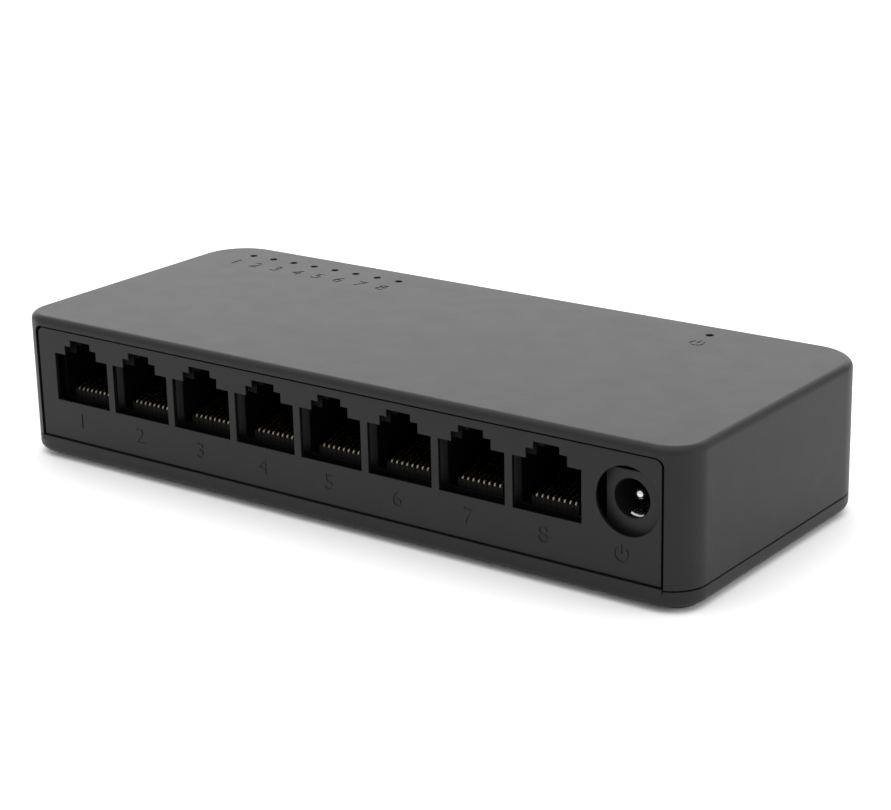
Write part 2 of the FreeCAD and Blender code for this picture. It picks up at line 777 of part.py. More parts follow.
def make_power_inlet():
    """A barrel socket: housing, centre pin, the leaf that presses on the barrel, and its terminal."""
    half = S.inlet_width / 2
    x = (S.inlet_place - half, S.inlet_place + half + S.inlet_side)
    lower = box("inlet_lower", x, (inlet_front, inlet_rear), (board_top, S.inlet_top - S.inlet_corner))
    upper = box("inlet_upper", (x[0] + S.inlet_corner, x[1] - S.inlet_corner), (inlet_front, inlet_rear),
                (board_top, S.inlet_top))
    rounds = [level(f"inlet_round_{side}", S.inlet_corner * 2, edge, S.inlet_top - S.inlet_corner,
                    (inlet_front, inlet_rear))
              for side, edge in (("left", x[0] + S.inlet_corner), ("right", x[1] - S.inlet_corner))]
    slot_half = S.leaf_width / 2 + S.leaf_side_gap
    slot_rear = inlet_front + S.leaf_root + S.leaf_slot_margin
    slot_x = (S.inlet_place - slot_half, S.inlet_place + slot_half)
    cutters = [
        level("barrel_hole", S.barrel_hole, S.inlet_place, S.inlet_height,
              (inlet_front - past, inlet_front + S.barrel_depth)),
        level("pin_way", S.pin_way, S.inlet_place, S.inlet_height,
              (inlet_front + S.barrel_depth - past, inlet_rear + past)),
        box("leaf_slot", slot_x, (inlet_front + S.leaf_slot_front, slot_rear),
            (S.leaf_slot_floor, S.leaf_slot_top)),
        box("terminal_way", slot_x, (slot_rear - S.leaf_slot_margin * 2, slot_rear),
            (board_top - past, S.leaf_slot_floor + past)),
    ]
    node("power_jack_housing", cut("inlet", fuse("inlet_blank", [lower, upper] + rounds), cutters))

    blade_front = inlet_rear + S.blade_setback
    pin_y = (inlet_front + S.pin_setback, blade_front + S.blade_thickness / 2)
    pin = level("inlet_pin", S.centre_pin, S.inlet_place, S.inlet_height, pin_y)
    tip = doc.addObject("Part::Sphere", "inlet_pin_tip")
    bind(tip, Radius=S.centre_pin / 2)
    place(tip, S.inlet_place, pin_y[0], S.inlet_height)
    blade_half = S.blade_width / 2
    blade = box("inlet_blade", (S.inlet_place - blade_half, S.inlet_place + blade_half),
                (blade_front, blade_front + S.blade_thickness),
                (S.board_bottom - S.pin_reach, S.inlet_height + blade_half))
    node("power_jack_centre_pin", fuse("centre_pin_whole", [pin, tip, blade]))

    front = float(inlet_front)
    path = [(front + float(S.leaf_root + S.leaf_overrun), float(S.leaf_root_height), 0),
            (front + float(S.leaf_crest), float(S.leaf_crest_height), float(S.leaf_bend)),
            (front + float(S.leaf_tip), float(S.leaf_tip_height), 0)]
    leaf = strip(path, S.leaf_thickness, S.leaf_width, float(S.inlet_place))
    node("power_jack_spring_leaf", fixed("leaf", [leaf]))
    blade_top = S.leaf_root_height - S.leaf_thickness / 2 - S.arm_clearance
    terminal = box("sleeve_blade", (S.inlet_place - S.leaf_width / 2, S.inlet_place + S.leaf_width / 2),
                   (inlet_front + S.leaf_root - S.blade_thickness / 2,
                    inlet_front + S.leaf_root + S.blade_thickness / 2),
                   (S.board_bottom - S.pin_reach, blade_top))
    node("power_jack_sleeve_terminal", terminal)


# ---------------------------------------------------------------- lamps and their shrouds

def lamp(name, x, y):
    """A small surface lamp: a pale carrier with a clear block on it."""
    lens_bottom = board_top + S.carrier_height - S.lens_overlap
    carrier = centred_box(name + "_carrier", (x, y), S.carrier_length, S.carrier_width,
                          (board_top, board_top + S.carrier_height))
    lens = centred_box(name + "_lens", (x, y), S.lens_length, S.carrier_width,
                       (lens_bottom, lens_bottom + S.lens_height))
    return fuse(name, [carrier, lens])


def make_lamps():
    for number, x in enumerate(lamp_places(), start=1):
        node(f"port_{number}_lamp", lamp(f"lamp_{number}", x, S.lamp_row))
    node("power_lamp", lamp("lamp_power", S.power_lamp_place, S.power_lamp_row))


def make_shrouds():
    """Black tubes that lead each lamp's light to its own hole."""
    z = (board_top + S.shroud_gap, inner_top - S.shroud_gap)
    bored = (board_top - past, inner_top + past)
    places = lamp_places()
    half = S.shroud_width / 2
    bar = box("shroud_bar", (places[0] - half, places[-1] + half), (S.lamp_row - half, S.lamp_row + half), z)
    ways = [upright(f"shroud_way_{number}", S.shroud_hole, (x, S.lamp_row), bored)
            for number, x in enumerate(places, start=1)]
    node("port_lamp_shroud", cut("shroud", bar, ways))
    centre = (S.power_lamp_place, S.power_lamp_row)
    tube = upright("power_tube", S.shroud_width, centre, z)
    node("power_lamp_shroud", cut("power_shroud", tube, [upright("power_way", S.shroud_hole, centre, bored)]))


# ---------------------------------------------------------------- parts soldered to the board

def leads_along(span, depth, pitch, count, lead_width, shoulder):
    """The two rows of bent leads of a package centred on the origin, rising to its shoulder."""
    rows = []
    for index in range(count):
        x = (index - (count - 1) / 2) * pitch
        foot, bend, level_z = span / 2 - float(S.lead_foot), float(S.lead_bend), float(S.lead_centre)
        path = [(span / 2, level_z, 0), (foot, level_z, bend), (depth / 2 + bend * 2, shoulder, bend),
                (depth / 2 - bend, shoulder, 0)]
        lead = strip(path, S.lead_thickness, lead_width, x)
        rows.append(lead)
        rows.append(lead.rotated(FreeCAD.Vector(), FreeCAD.Vector(0, 0, 1), 180))
    return rows


def package(label, centre, sizes, four_sides=False):
    """A moulded package with bent leads on two or four sides, standing on the board."""
    width, depth, height, pitch, count, lead_width = sizes
    standoff, span = float(S.package_standoff), float(S.lead_span)
    body = Part.makeBox(width, depth, height - standoff, FreeCAD.Vector(-width / 2, -depth / 2, standoff))
    top_edges = [edge for edge in body.Edges if edge.BoundBox.ZMin > height - standoff / 2]
    body = body.makeChamfer(float(S.package_chamfer), top_edges)
    shoulder = height * 0.45
    leads = leads_along(depth + span, depth, pitch, count, lead_width, shoulder)
    if four_sides:
        turned = leads_along(width + span, width, pitch, count, lead_width, shoulder)
        leads += [lead.rotated(FreeCAD.Vector(), FreeCAD.Vector(0, 0, 1), 90) for lead in turned]
    made = fixed(label + "_shape", [body.fuse(leads)])
    made.Placement.Base = FreeCAD.Vector(centre[0], centre[1], float(board_top))
    node(label, made)


def make_chips():
    package("switch_chip", PLACES["switch_chip"], FLAT_PACKAGE, True)
    package("memory_chip", PLACES["memory_chip"], SMALL_PACKAGE)
    package("regulator_chip", PLACES["regulator_chip"], SMALL_PACKAGE)
    for number, middle in enumerate(pair_middles(), start=1):
        package(f"line_transformer_{number}", (middle, float(S.transformer_row)), TRANSFORMER_PACKAGE)


def pair_middles():
    """The middle of each pair of neighbouring sockets, across the case."""
    places = [float(port) for port in port_places()]
    return [(first + second) / 2 for first, second in zip(places[::2], places[1::2])]


def make_crystal():
    """The clock crystal in its flat metal can."""
    length, depth, height = float(S.crystal_length), float(S.crystal_depth), float(S.crystal_height)
    edge, low = float(S.crystal_brim), float(S.crystal_brim_height)
    radius = float(S.crystal_radius)
    can = Part.makeBox(length, depth, height, FreeCAD.Vector(-length / 2, -depth / 2, 0))
    can = can.makeFillet(radius, [side for side in can.Edges if abs(side.BoundBox.ZLength - height) < 1e-6])
    brim = Part.makeBox(length + edge * 2, depth + edge * 2, low,
                        FreeCAD.Vector(-length / 2 - edge, -depth / 2 - edge, 0))
    brim = brim.makeFillet(radius + edge * 0.75,
                           [side for side in brim.Edges if abs(side.BoundBox.ZLength - low) < 1e-6])
    made = fixed("crystal_shape", [can.fuse(brim)])
    made.Placement.Base = FreeCAD.Vector(*PLACES["clock_crystal"], float(board_top))
    node("clock_crystal", made)


def make_capacitor(label, height):
    """A round capacitor can on its square foot, with the groove rolled round its lower end."""
    centre = PLACES[label]
    side = S.can_width + S.can_foot_growth
    foot_top = board_top + S.can_foot_height
    foot = centred_box(label + "_foot", centre, side, side, (board_top, foot_top))
    can = upright(label + "_can", S.can_width, centre, (foot_top - past / 10, board_top + height))
    groove = doc.addObject("Part::Torus", label + "_groove")
    bind(groove, Radius1=side / 2, Radius2=S.can_groove)
    place(groove, *centre, board_top + S.can_groove_height)
    node(label, cut(label + "_whole", fuse(label + "_blank", [foot, can]), [groove]))


def make_power_parts():
    make_capacitor("input_capacitor", S.input_can_height)
    make_capacitor("output_capacitor", S.output_can_height)
    coil = PLACES["power_inductor"]
    core = centred_box("coil_core", coil, S.coil_width, S.coil_width, (board_top, board_top + S.coil_height))
    well = upright("coil_well", S.coil_well, coil,
                   (board_top + S.coil_well_floor, board_top + S.coil_height + past))
    post = upright("coil_post", S.coil_post, coil,
                   (board_top + S.coil_well_floor - past / 5, board_top + S.coil_post_height))
    node("power_inductor", fuse("coil", [cut("coil_open", core, [well]), post]))
    diode = PLACES["input_diode"]
    moulding = centred_box("diode_moulding", diode, S.diode_length, S.diode_width,
                           (board_top + S.diode_standoff, board_top + S.diode_height))
    tabs = centred_box("diode_tabs", diode, S.diode_tab_span, S.diode_tab_width,
                       (board_top, board_top + S.diode_tab_height))
    node("input_diode", fuse("diode", [moulding, tabs]))


def chip_block(x, y, width, depth, height):
    """A small block on the board, centred on a place."""
    return Part.makeBox(float(width), float(depth), float(height),
                        FreeCAD.Vector(x - float(width) / 2, y - float(depth) / 2, float(board_top)))


def make_chip_parts():
    """Small resistors by each transformer and small capacitors round the switch chip."""
    row = float(S.resistor_row + S.resistor_length / 2)
    resistors = [chip_block(middle + (index - 1.5) * float(S.resistor_pitch), row,
                            S.resistor_width, S.resistor_length, S.resistor_height)
                 for middle in pair_middles() for index in range(4)]
    node("chip_resistors", fixed("resistors_shape", resistors))
    chip_x, chip_y = PLACES["switch_chip"]
    capacitors = [chip_block(chip_x + (index - 2) * float(S.capacitor_pitch),
                             chip_y + side * float(S.capacitor_offset),
                             S.capacitor_length, S.capacitor_width, S.capacitor_width)
                  for side in (-1, 1) for index in range(5)]
    node("chip_capacitors", fixed("capacitors_shape", capacitors))


# ---------------------------------------------------------------- build, check and write

def check(everything):
    """Stop if any object failed or any sub-part has no sound shape."""
    failed = [thing.Name for thing in everything if {"Invalid", "Error"} & set(thing.State)]
    failed += [label for label, thing in nodes.items() if thing.Shape.isNull() or not thing.Shape.isValid()]
    if failed:
        raise RuntimeError("failed: " + ", ".join(failed))


def main():
    make_top_cover()
    make_base_tray()
    make_feet()
    make_front_panel()
    make_circuit_board()
    make_screws()
    make_port_housing()
    make_contacts()
    make_power_inlet()
    make_lamps()
    make_shrouds()
    make_chips()
    make_crystal()
    make_power_parts()
    make_chip_parts()
    doc.recompute()
    check(doc.Objects)
    os.makedirs("parts", exist_ok=True)
    for label, thing in nodes.items():
        thing.Shape.exportStep(os.path.join("parts", label + ".step"))
        count = len(thing.Shape.Solids)
        print(f"{label}: {count} solid(s), {thing.Shape.Volume:.2f} mm3")
    print(f"{len(nodes)} nodes")


main()
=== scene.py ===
"""Eight-port desktop network switch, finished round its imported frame, laid out as an add-on."""

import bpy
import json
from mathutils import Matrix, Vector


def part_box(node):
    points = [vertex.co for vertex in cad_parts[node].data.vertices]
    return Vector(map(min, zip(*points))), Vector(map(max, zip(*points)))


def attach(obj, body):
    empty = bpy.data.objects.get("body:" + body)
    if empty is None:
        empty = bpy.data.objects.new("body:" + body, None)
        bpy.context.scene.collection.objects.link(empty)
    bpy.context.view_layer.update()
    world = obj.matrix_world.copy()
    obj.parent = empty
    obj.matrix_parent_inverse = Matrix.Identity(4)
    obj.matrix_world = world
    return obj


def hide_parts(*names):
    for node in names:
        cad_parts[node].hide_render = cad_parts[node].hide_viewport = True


bl_info = {
    "name": "Desktop Network Switch",
    "version": (1, 0, 0),
    "blender": (4, 5, 0),
    "location": "View3D > Sidebar > Switch",
    "description": "Builds the finished pieces of a desktop network switch, and a plain studio round them",
    "category": "Add Mesh",
}

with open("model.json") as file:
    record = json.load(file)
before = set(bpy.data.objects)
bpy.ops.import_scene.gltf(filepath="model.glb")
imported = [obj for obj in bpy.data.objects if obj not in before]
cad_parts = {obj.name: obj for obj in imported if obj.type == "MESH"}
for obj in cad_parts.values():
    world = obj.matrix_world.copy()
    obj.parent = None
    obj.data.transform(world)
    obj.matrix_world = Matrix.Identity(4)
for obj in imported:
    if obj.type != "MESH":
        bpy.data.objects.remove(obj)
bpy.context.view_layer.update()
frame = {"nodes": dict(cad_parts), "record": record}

import json
import math
from contextlib import contextmanager
from types import SimpleNamespace

import bmesh
import bpy
from bpy.props import FloatProperty, FloatVectorProperty, IntProperty, PointerProperty, StringProperty
from mathutils import Matrix, Vector
from mathutils.geometry import intersect_point_line

MM = 0.001
CASE = "case"
FEET = ["foot_front_left", "foot_front_right", "foot_rear_left", "foot_rear_right"]

# Fixed sizes in millimetres.
PAST = 1.0  # how far a cutting tool runs past a face
ROOT = 0.5  # how far a post or rib is sunk into what it stands on
OVERLAP = 0.1  # how far two plates that are joined run into each other
CLEARANCE = 0.15  # the gap between parts that fit into one another
FLARE = 0.12  # the broken edge of a turned hole
WELD = 0.0005  # points closer than this are one point
SEAM_GAP = 0.2  # the gap between the two shells
BASE_FLOOR = 1.8  # the thickness of the base's floor
LIP = 1.2  # the thickness of the base's inner lip
MARK_GAP = 5.0  # how far the cover's marks stand in front of the lamp holes
COVER_MARK_DEPTH = 0.8  # the depth of the cover's marks, as a share of the panel's
DIGIT_SHIFT, COVER_SIGN_SHIFT, PANEL_SIGN_SHIFT = -0.5, 0.5, (-0.6, -0.1)  # how far marks are off centre
ABOVE_FACE = 0.3  # how far an engraving tool stands out of the face
CASE_SCREW, BOARD_SCREW = 2.8, 2.4  # radii of the two kinds of screw head
POST, PILOT, PILOT_TOP = 3.0, 1.5, 13.0  # the cover's screw posts: radius, hole radius, top of the hole
SEAT, SEAT_TOP = 3.5, 3.9  # the base's screw seats: radius and top
HEAD_ROOM, HEAD_TOP = 3.1, 2.05  # the recess for a case screw's head: radius and top
SHANK_ROOM, BOARD_HOLE = 1.7, 1.2  # radii of the holes for the shanks of the two kinds of screw
PEG, PEG_PLACE = 2.0, (52.0, 15.0)  # the plain posts under the board: radius and place
ABOVE_POSTS = 9.0  # a height over every post in the base
FOOT_CORNERS = (3.9, 1.0)  # corner radii of a foot: by the case's corner, and the others
FOOT_BEVEL_STEP = 0.3  # where the rounding of a foot's edge turns, as a share of it
DRAFT = 0.3  # how much the panel's openings widen towards the back
SOCKET_FLOOR, SOCKET_DEPTH = 11.3, 12.0  # the inside of a socket: its floor, and how far it goes back
SOCKET_STEPS = [(6.15, 19.5), (3.35, 21.1), (2.0, 22.25)]  # half width and top of each of its steps
CHAMBER_HALF, CHAMBER_BACK, CHAMBER_TOP = 4.2, 16.2, 12.1  # the space for the wires behind and below it
COMB_FOOT = 11.25  # where the combs start, just under the floor of a socket
# Each comb: half the thickness of a tooth, where it starts and ends, its straight top, its tip and its taper.
FRONT_COMB = (0.2, 0.03, 2.8, 12.85, 13.0, 0.06)
REAR_COMB = (0.14, 8.0, 12.05, 13.2, 13.4, 0.08)
COMB_BAR = (4.2, 0.08, 0.2, 12.68, 12.78, 0.04)
FOLD_HEIGHT, RUN_HEIGHT = 12.7, 11.56  # the middle of a wire's front fold, and its run under the floor
WIRE_CORNER = 0.2  # radius of a wire's long edges, as a share of its thickness
LEAD_ROWS = ((1, 13.4), (-1, 15.2))  # the two rows of leads: which wires, and how far back
INLET_HEIGHT = 16.3  # the middle of the power inlet
INLET_SHIFT = (0.28, 0.12)  # how far the panel's hole is off that middle
INLET_BORE, INLET_DEPTH = 3.1, 9.5  # radius and depth of the bore
PIN, PIN_WAY = 1.0, 1.05  # radii of the centre pin and its passage
SLOT_HALF, LEAF_HALF = 1.4, 1.1  # half widths of the slot for the leaf and of the leaf
# The inlet's spring leaf.
LEAF_THICKNESS, LEAF_CROWN, LEAF_DROP = 0.3, 0.22, 0.12  # its thickness, curl and drop
LEAF_NOSE, LEAF_NOSE_RADIUS = (1.95, 13.0), 0.42  # its round tip: y behind the face and z, radius


def mm_box(node):
    """The lowest and highest corner of a CAD node in millimetres."""
    low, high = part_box(node)
    return low / MM, high / MM


def length(name, description, millimetres):
    return FloatProperty(name=name, description=description, default=millimetres * MM,
                         unit="LENGTH", precision=5)


def angle(name, description, degrees):
    return FloatProperty(name=name, description=description, default=math.radians(degrees), subtype="ANGLE")


def hex_colour(name, description, value):
    return StringProperty(name=name, description=description + ", as an sRGB hex value", default=value)


# ---------------------------------------------------------------- settings

class CaseSettings(bpy.types.PropertyGroup):
    """Radii and walls of the two shells and the feet"""
    front_radius: length("Front corners", "Radius of the two upright corners by the sockets", 6.0)
    rear_radius: length("Rear corners", "Radius of the two upright corners at the back", 9.0)
    top_edge: length("Top edge", "Radius of the rounded edge round the top", 1.3)
    base_edge: length("Bottom edge", "Radius of the rounded edge round the underside", 1.4)
    wall: length("Wall", "Thickness of the moulded walls", 2.0)
    edge_break: length("Edge break", "Tiny bevel that a mould leaves on its sharp edges", 0.12)
    lamp_hole: length("Lamp hole", "Diameter of the holes over the lamps", 1.3)
    foot_bevel: length("Foot edge", "Rounding of the lower edge of each foot", 0.25)


class FrontSettings(bpy.types.PropertyGroup):
    """The front panel, its openings and its engraving"""
    port_count: IntProperty(name="Sockets", description="Network sockets in the row", default=8, min=1)
    port_pitch: length("Socket spacing", "Distance from one socket to the next", 13.97)
    first_port: length("First socket", "Place of the leftmost socket across the case", -53.92)
    mouth_floor: length("Socket floor", "Height of the lower edge of the openings", 11.17)
    mouth_width: length("Socket width", "Width of the openings", 12.54)
    mouth_top: length("Socket top", "Height of the wide part's upper edge", 19.72)
    shoulder_width: length("Shoulder width", "Width of the first step above the socket", 7.5)
    shoulder_top: length("Shoulder top", "Height of the first step's upper edge", 21.37)
    latch_width: length("Latch width", "Width of the second step", 4.7)
    latch_top: length("Latch top", "Height of the second step's upper edge", 22.57)
    inlet_hole: length("Inlet hole", "Diameter of the hole round the power inlet", 11.04)
    digit_height: length("Digit height", "Height of the engraved numbers on the panel", 2.7)
    digit_row: length("Digit row", "Height of the middle of the numbers", 8.07)
    engraving: length("Engraving", "Depth of the numbers and signs", 0.11)
    reveal: length("Side gap", "Gap between the panel and the cover at each side", 0.5)
    opening_top: length("Opening top", "Height of the upper edge of the cover's opening", 24.3)
    corner: length("Panel corner", "Radius of the upper corners of the panel", 1.25)
    flange_reach: length("Flange reach", "How far the flange goes past the panel at the sides", 0.95)
    flange_rise: length("Flange rise", "How far the flange goes past the panel at the top", 0.7)
    panel_thickness: length("Panel thickness", "Thickness of the panel", 1.0)
    sill: length("Sill", "Height of the sill under the panel", 0.4)
    top_digit_height: length("Top digit height", "Height of the engraved numbers on the cover", 2.7)


class ContactSettings(bpy.types.PropertyGroup):
    """The spring wires of the sockets"""
    wires: IntProperty(name="Wires", description="Spring wires in each socket", default=8, min=1)
    wire_pitch: length("Wire spacing", "Distance from one wire to the next", 1.02)
    wire_thickness: length("Wire thickness", "Thickness of a spring wire, which has flat sides", 0.36)
    fold_radius: length("Fold radius", "Radius of the fold at the front of a wire", 0.45)
    slope: angle("Slope", "Rise of the free arms", 14.5)


class FinishSettings(bpy.types.PropertyGroup):
    """Colours of the main finishes"""
    case_colour: hex_colour("Case", "Black ABS of the shells", "#131314")
    panel_colour: hex_colour("Panel", "Black ABS of the front panel", "#111112")
    # The socket colour is black nylon made darker still as painted shade, for the shade inside the sockets.
    socket_colour: hex_colour("Sockets", "Black nylon of the socket block", "#060606")
    rubber_colour: hex_colour("Feet", "Rubber of the feet", "#121213")
    # The contacts' pale gold is made darker as painted shade, for the shade inside the sockets.
    gold_colour: hex_colour("Contacts", "Gold plate of the spring wires", "#8f8162")


class StageSettings(bpy.types.PropertyGroup):
    """Camera, floor and lights"""
    azimuth: angle("Azimuth", "Turn of the camera round the case", 36.859)
    elevation: angle("Elevation", "Height of the camera as an angle", 18.34)
    roll: angle("Roll", "Tilt of the camera about its own axis", -1.287)
    place: FloatVectorProperty(name="Camera place", description="Where the camera stands",
                               default=(0.2255, -0.29579, 0.13607), subtype="TRANSLATION")
    lens: FloatProperty(name="Lens", description="Focal length in millimetres",
                        default=92.48, subtype="DISTANCE_CAMERA")
    world_light: FloatProperty(name="Room light", description="Strength of the even light", default=1.0)
    back_light: FloatProperty(name="Back light", description="Watts of the softbox behind", default=9.5)
    side_light: FloatProperty(name="Side light", description="Watts of the softbox to the right", default=3.0)
    top_light: FloatProperty(name="Top light", description="Watts of the softbox over the table", default=9.5)


# ---------------------------------------------------------------- materials

def linear(hex_value):
    """An sRGB hex colour as linear RGBA."""
    channels = [int(hex_value[place:place + 2], 16) / 255 for place in (1, 3, 5)]
    return [c / 12.92 if c <= 0.04045 else ((c + 0.055) / 1.055) ** 2.4 for c in channels] + [1.0]


def feed(tree, node, inputs):
    """Set inputs of a node: one given a socket is linked to it, and any other value is set."""
    for name, value in inputs.items():
        if isinstance(value, bpy.types.NodeSocket):
            tree.links.new(value, node.inputs[name])
        else:
            node.inputs[name].default_value = value


def add_node(tree, kind, inputs=None, **settings):
    """Add a node with these inputs and settings."""
    node = tree.nodes.new(kind)
    for name, value in settings.items():
        setattr(node, name, value)
    feed(tree, node, inputs or {})
    return node


def reckon(tree, operation, first, second):
    """The result of a sum on two values."""
    return add_node(tree, "ShaderNodeMath", {0: first, 1: second}, operation=operation).outputs[0]


def bump(tree, height, strength, distance_mm):
    """The normal of a surface raised and sunk by a height socket."""
    return add_node(tree, "ShaderNodeBump", {"Height": height, "Strength": strength,
                                             "Distance": distance_mm * MM}).outputs["Normal"]


def cells_per_metre(size_mm):
    """The texture scale at which one cell of a pattern is this many millimetres."""
    return 1.0 / (size_mm * MM)


def new_material(name):
    """An empty material with its output and shader, and the place on the piece as a vector."""
    material = bpy.data.materials.new(name)
    material.use_nodes = True
    tree = material.node_tree
    tree.nodes.clear()
    shader = add_node(tree, "ShaderNodeBsdfPrincipled")
    add_node(tree, "ShaderNodeOutputMaterial", {"Surface": shader.outputs["BSDF"]})
    place = add_node(tree, "ShaderNodeTexCoord").outputs["Object"]
    return material, tree, shader, place


def noise(tree, place, size_mm, detail=2.0):
    """Soft noise with patches of one size."""
    return add_node(tree, "ShaderNodeTexNoise", {"Vector": place, "Scale": cells_per_metre(size_mm),
                                                 "Detail": detail}).outputs["Fac"]


def varied(tree, place, size_mm, low, high, kind="FLOAT", detail=2.0):
    """A value or colour that drifts between two ends over patches of one size."""
    first, second, out = (6, 7, 2) if kind == "RGBA" else (2, 3, 0)
    mix = add_node(tree, "ShaderNodeMix", {0: noise(tree, place, size_mm, detail), first: low, second: high},
                   data_type=kind)
    return mix.outputs[out]


def shade(hex_value, factor):
    """A linear colour made lighter or darker by a factor."""
    return [min(1.0, c * factor) for c in linear(hex_value)[:3]] + [1.0]


def moulded_plastic(name, colour, roughness, grain_mm, grain_height_mm, drift=0.15, ior=1.45):
    """Injection-moulded plastic from a spark-eroded mould: an even, fine, dull grain with faint patches."""
    material, tree, shader, place = new_material(name)
    pits = add_node(tree, "ShaderNodeTexVoronoi", {"Vector": place, "Scale": cells_per_metre(grain_mm * 1.6)})
    height = reckon(tree, "ADD", noise(tree, place, grain_mm, 3.0), pits.outputs["Distance"])
    feed(tree, shader, {
        "IOR": ior,
        "Base Color": varied(tree, place, 9.0, shade(colour, 1 - drift), shade(colour, 1 + drift),
                             "RGBA", 4.0),
        "Roughness": varied(tree, place, 5.0, roughness - 0.03, roughness + 0.03, detail=5.0),
        "Normal": bump(tree, height, 0.6, grain_height_mm)})
    return material


def plated_metal(name, colour, roughness, draw_mm=(0.05, 1.5, 0.05), draw_height_mm=0.002):
    """Bright plated metal: drawn or stamped, so faint lines run one way under the plating."""
    material, tree, shader, place = new_material(name)
    scale = [cells_per_metre(size) for size in draw_mm]
    stretched = add_node(tree, "ShaderNodeMapping", {"Vector": place, "Scale": scale})
    lines = add_node(tree, "ShaderNodeTexNoise",
                     {"Vector": stretched.outputs[0], "Scale": 1.0, "Detail": 2.0})
    feed(tree, shader, {
        "Metallic": 1.0,
        "Base Color": varied(tree, place, 1.2, shade(colour, 0.82), shade(colour, 1.08), "RGBA", 3.0),
        "Roughness": varied(tree, place, 0.4, roughness * 0.8, roughness * 1.3),
        "Normal": bump(tree, lines.outputs["Fac"], 0.5, draw_height_mm)})
    return material


def board_laminate():
    """Glass-epoxy board under green solder resist: satin, with copper tracks that show as paler lines."""
    material, tree, shader, place = new_material("solder_resist_on_glass_epoxy")
    tracks = add_node(tree, "ShaderNodeTexBrick", {
        "Vector": place, "Scale": cells_per_metre(4.0), "Mortar Size": 0.06, "Mortar Smooth": 0.1,
        "Color1": linear("#0d4a26"), "Color2": linear("#0f5029"), "Mortar": linear("#1f7a43")})
    feed(tree, shader, {"Base Color": tracks.outputs["Color"], "Roughness": 0.38,
                        "Normal": bump(tree, noise(tree, place, 0.5), 0.3, 0.01)})
    return material


def clear_epoxy():
    """Cast clear epoxy of a small lamp, faintly green and unlit."""
    material, tree, shader, place = new_material("cast_lamp_epoxy")
    colour = varied(tree, place, 0.4, linear("#b9c9b4"), linear("#d4dfcf"), "RGBA")
    feed(tree, shader, {"Base Color": colour, "Roughness": 0.15, "Transmission Weight": 0.3})
    return material


def make_finishes(colours):
    """One material for each material slot of the record."""
    # Name, colour, roughness, size and height of the grain, and where it isn't usual the drift and the IOR.
    moulded = {
        "case_plastic": ("spark_eroded_abs", colours.case_colour, 0.48, 0.30, 0.012, 0.08, 1.35),
        "panel_plastic": ("fine_matt_abs", colours.panel_colour, 0.50, 0.24, 0.008, 0.08, 1.36),
        "foot_rubber": ("moulded_rubber", colours.rubber_colour, 0.75, 0.35, 0.02),
        # The socket nylon is darker than the case and has a low IOR: painted shade inside the sockets, which
        # also dims its reflections.
        "socket_plastic": ("moulded_black_nylon_with_painted_shade", colours.socket_colour, 0.45, 0.5, 0.006, 0.15, 1.17),
        "inlet_plastic": ("moulded_black_pbt", "#131314", 0.48, 0.4, 0.008, 0.15, 1.36),
        "shroud_plastic": ("moulded_black_pom", "#111112", 0.5, 0.4, 0.01),
        "chip_moulding": ("moulded_epoxy", "#1a1a1c", 0.58, 0.2, 0.01),
        "ferrite": ("sintered_ferrite", "#2b2b2e", 0.62, 0.25, 0.03),
        "resistor_ceramic": ("glazed_thick_film", "#161618", 0.3, 0.3, 0.004),
        "capacitor_ceramic": ("fired_ceramic", "#8a6a45", 0.45, 0.3, 0.006),
    }
    # Name, colour, roughness, and where it isn't usual the size of the drawn lines each way.
    plated = {
        # The gold of the contacts is darkened as painted shade inside the sockets.
        "gold_plated_contacts": ("gold_plated_spring_bronze", colours.gold_colour, 0.30),
        "tinned_pin": ("nickel_plated_brass", "#d6d3cb", 0.16),
        "spring_metal": ("nickel_plated_spring_bronze", "#cfccc4", 0.26),
        "screw_steel": ("zinc_plated_steel", "#9c9da0", 0.32, (0.3, 0.3, 0.05)),
        "crystal_can": ("drawn_nickel_silver", "#c9c7c0", 0.28, (1.5, 0.1, 0.1)),
        "capacitor_can": ("drawn_aluminium", "#c4c6c9", 0.3, (0.1, 0.1, 1.5)),
    }
    finishes = {slot: moulded_plastic(*values) for slot, values in moulded.items()}
    finishes.update({slot: plated_metal(*values) for slot, values in plated.items()})
    return dict(finishes, circuit_board=board_laminate(), lamp=clear_epoxy())


# ---------------------------------------------------------------- mesh building, in millimetres

def arc(centre, radius, start, end, steps=8):
    """Points on an arc in a plane, its angles in radians."""
    return [(centre[0] + radius * math.cos(start + (end - start) * step / steps),
             centre[1] + radius * math.sin(start + (end - start) * step / steps))
            for step in range(steps + 1)]


def quarter_turn(centre, radius, quarter, steps):
    """Points on a quarter of a circle, from so many right angles round it."""
    return arc(centre, radius, quarter * math.pi / 2, (quarter + 1) * math.pi / 2, steps)


def rounded_outline(half_width, front, back, front_radius, rear_radius, steps=14):
    """A rectangle with round corners, counter-clockwise from its front right corner."""
    corners = [(half_width - front_radius, front + front_radius, front_radius),
               (half_width - rear_radius, back - rear_radius, rear_radius),
               (-half_width + rear_radius, back - rear_radius, rear_radius),
               (-half_width + front_radius, front + front_radius, front_radius)]
    return [point for quarter, (x, y, radius) in enumerate(corners, start=-1)
            for point in quarter_turn((x, y), radius, quarter, steps)]


def offset_outline(points, distance):
    """The same outline moved outwards by a distance, with mitred corners."""
    moved = []
    for index, (x, y) in enumerate(points):
        before, after = Vector(points[index - 1]), Vector(points[(index + 1) % len(points)])
        here = Vector((x, y))
        way_in, way_out = (here - before).normalized(), (after - here).normalized()
        normal_in, normal_out = Vector((way_in.y, -way_in.x)), Vector((way_out.y, -way_out.x))
        moved.append(here + (normal_in + normal_out) * (distance / (1 + normal_in.dot(normal_out))))
    return [(point.x, point.y) for point in moved]


def circle_outline(centre, radius, steps=64):
    return arc(centre, radius, 0, math.tau, steps)[:-1]


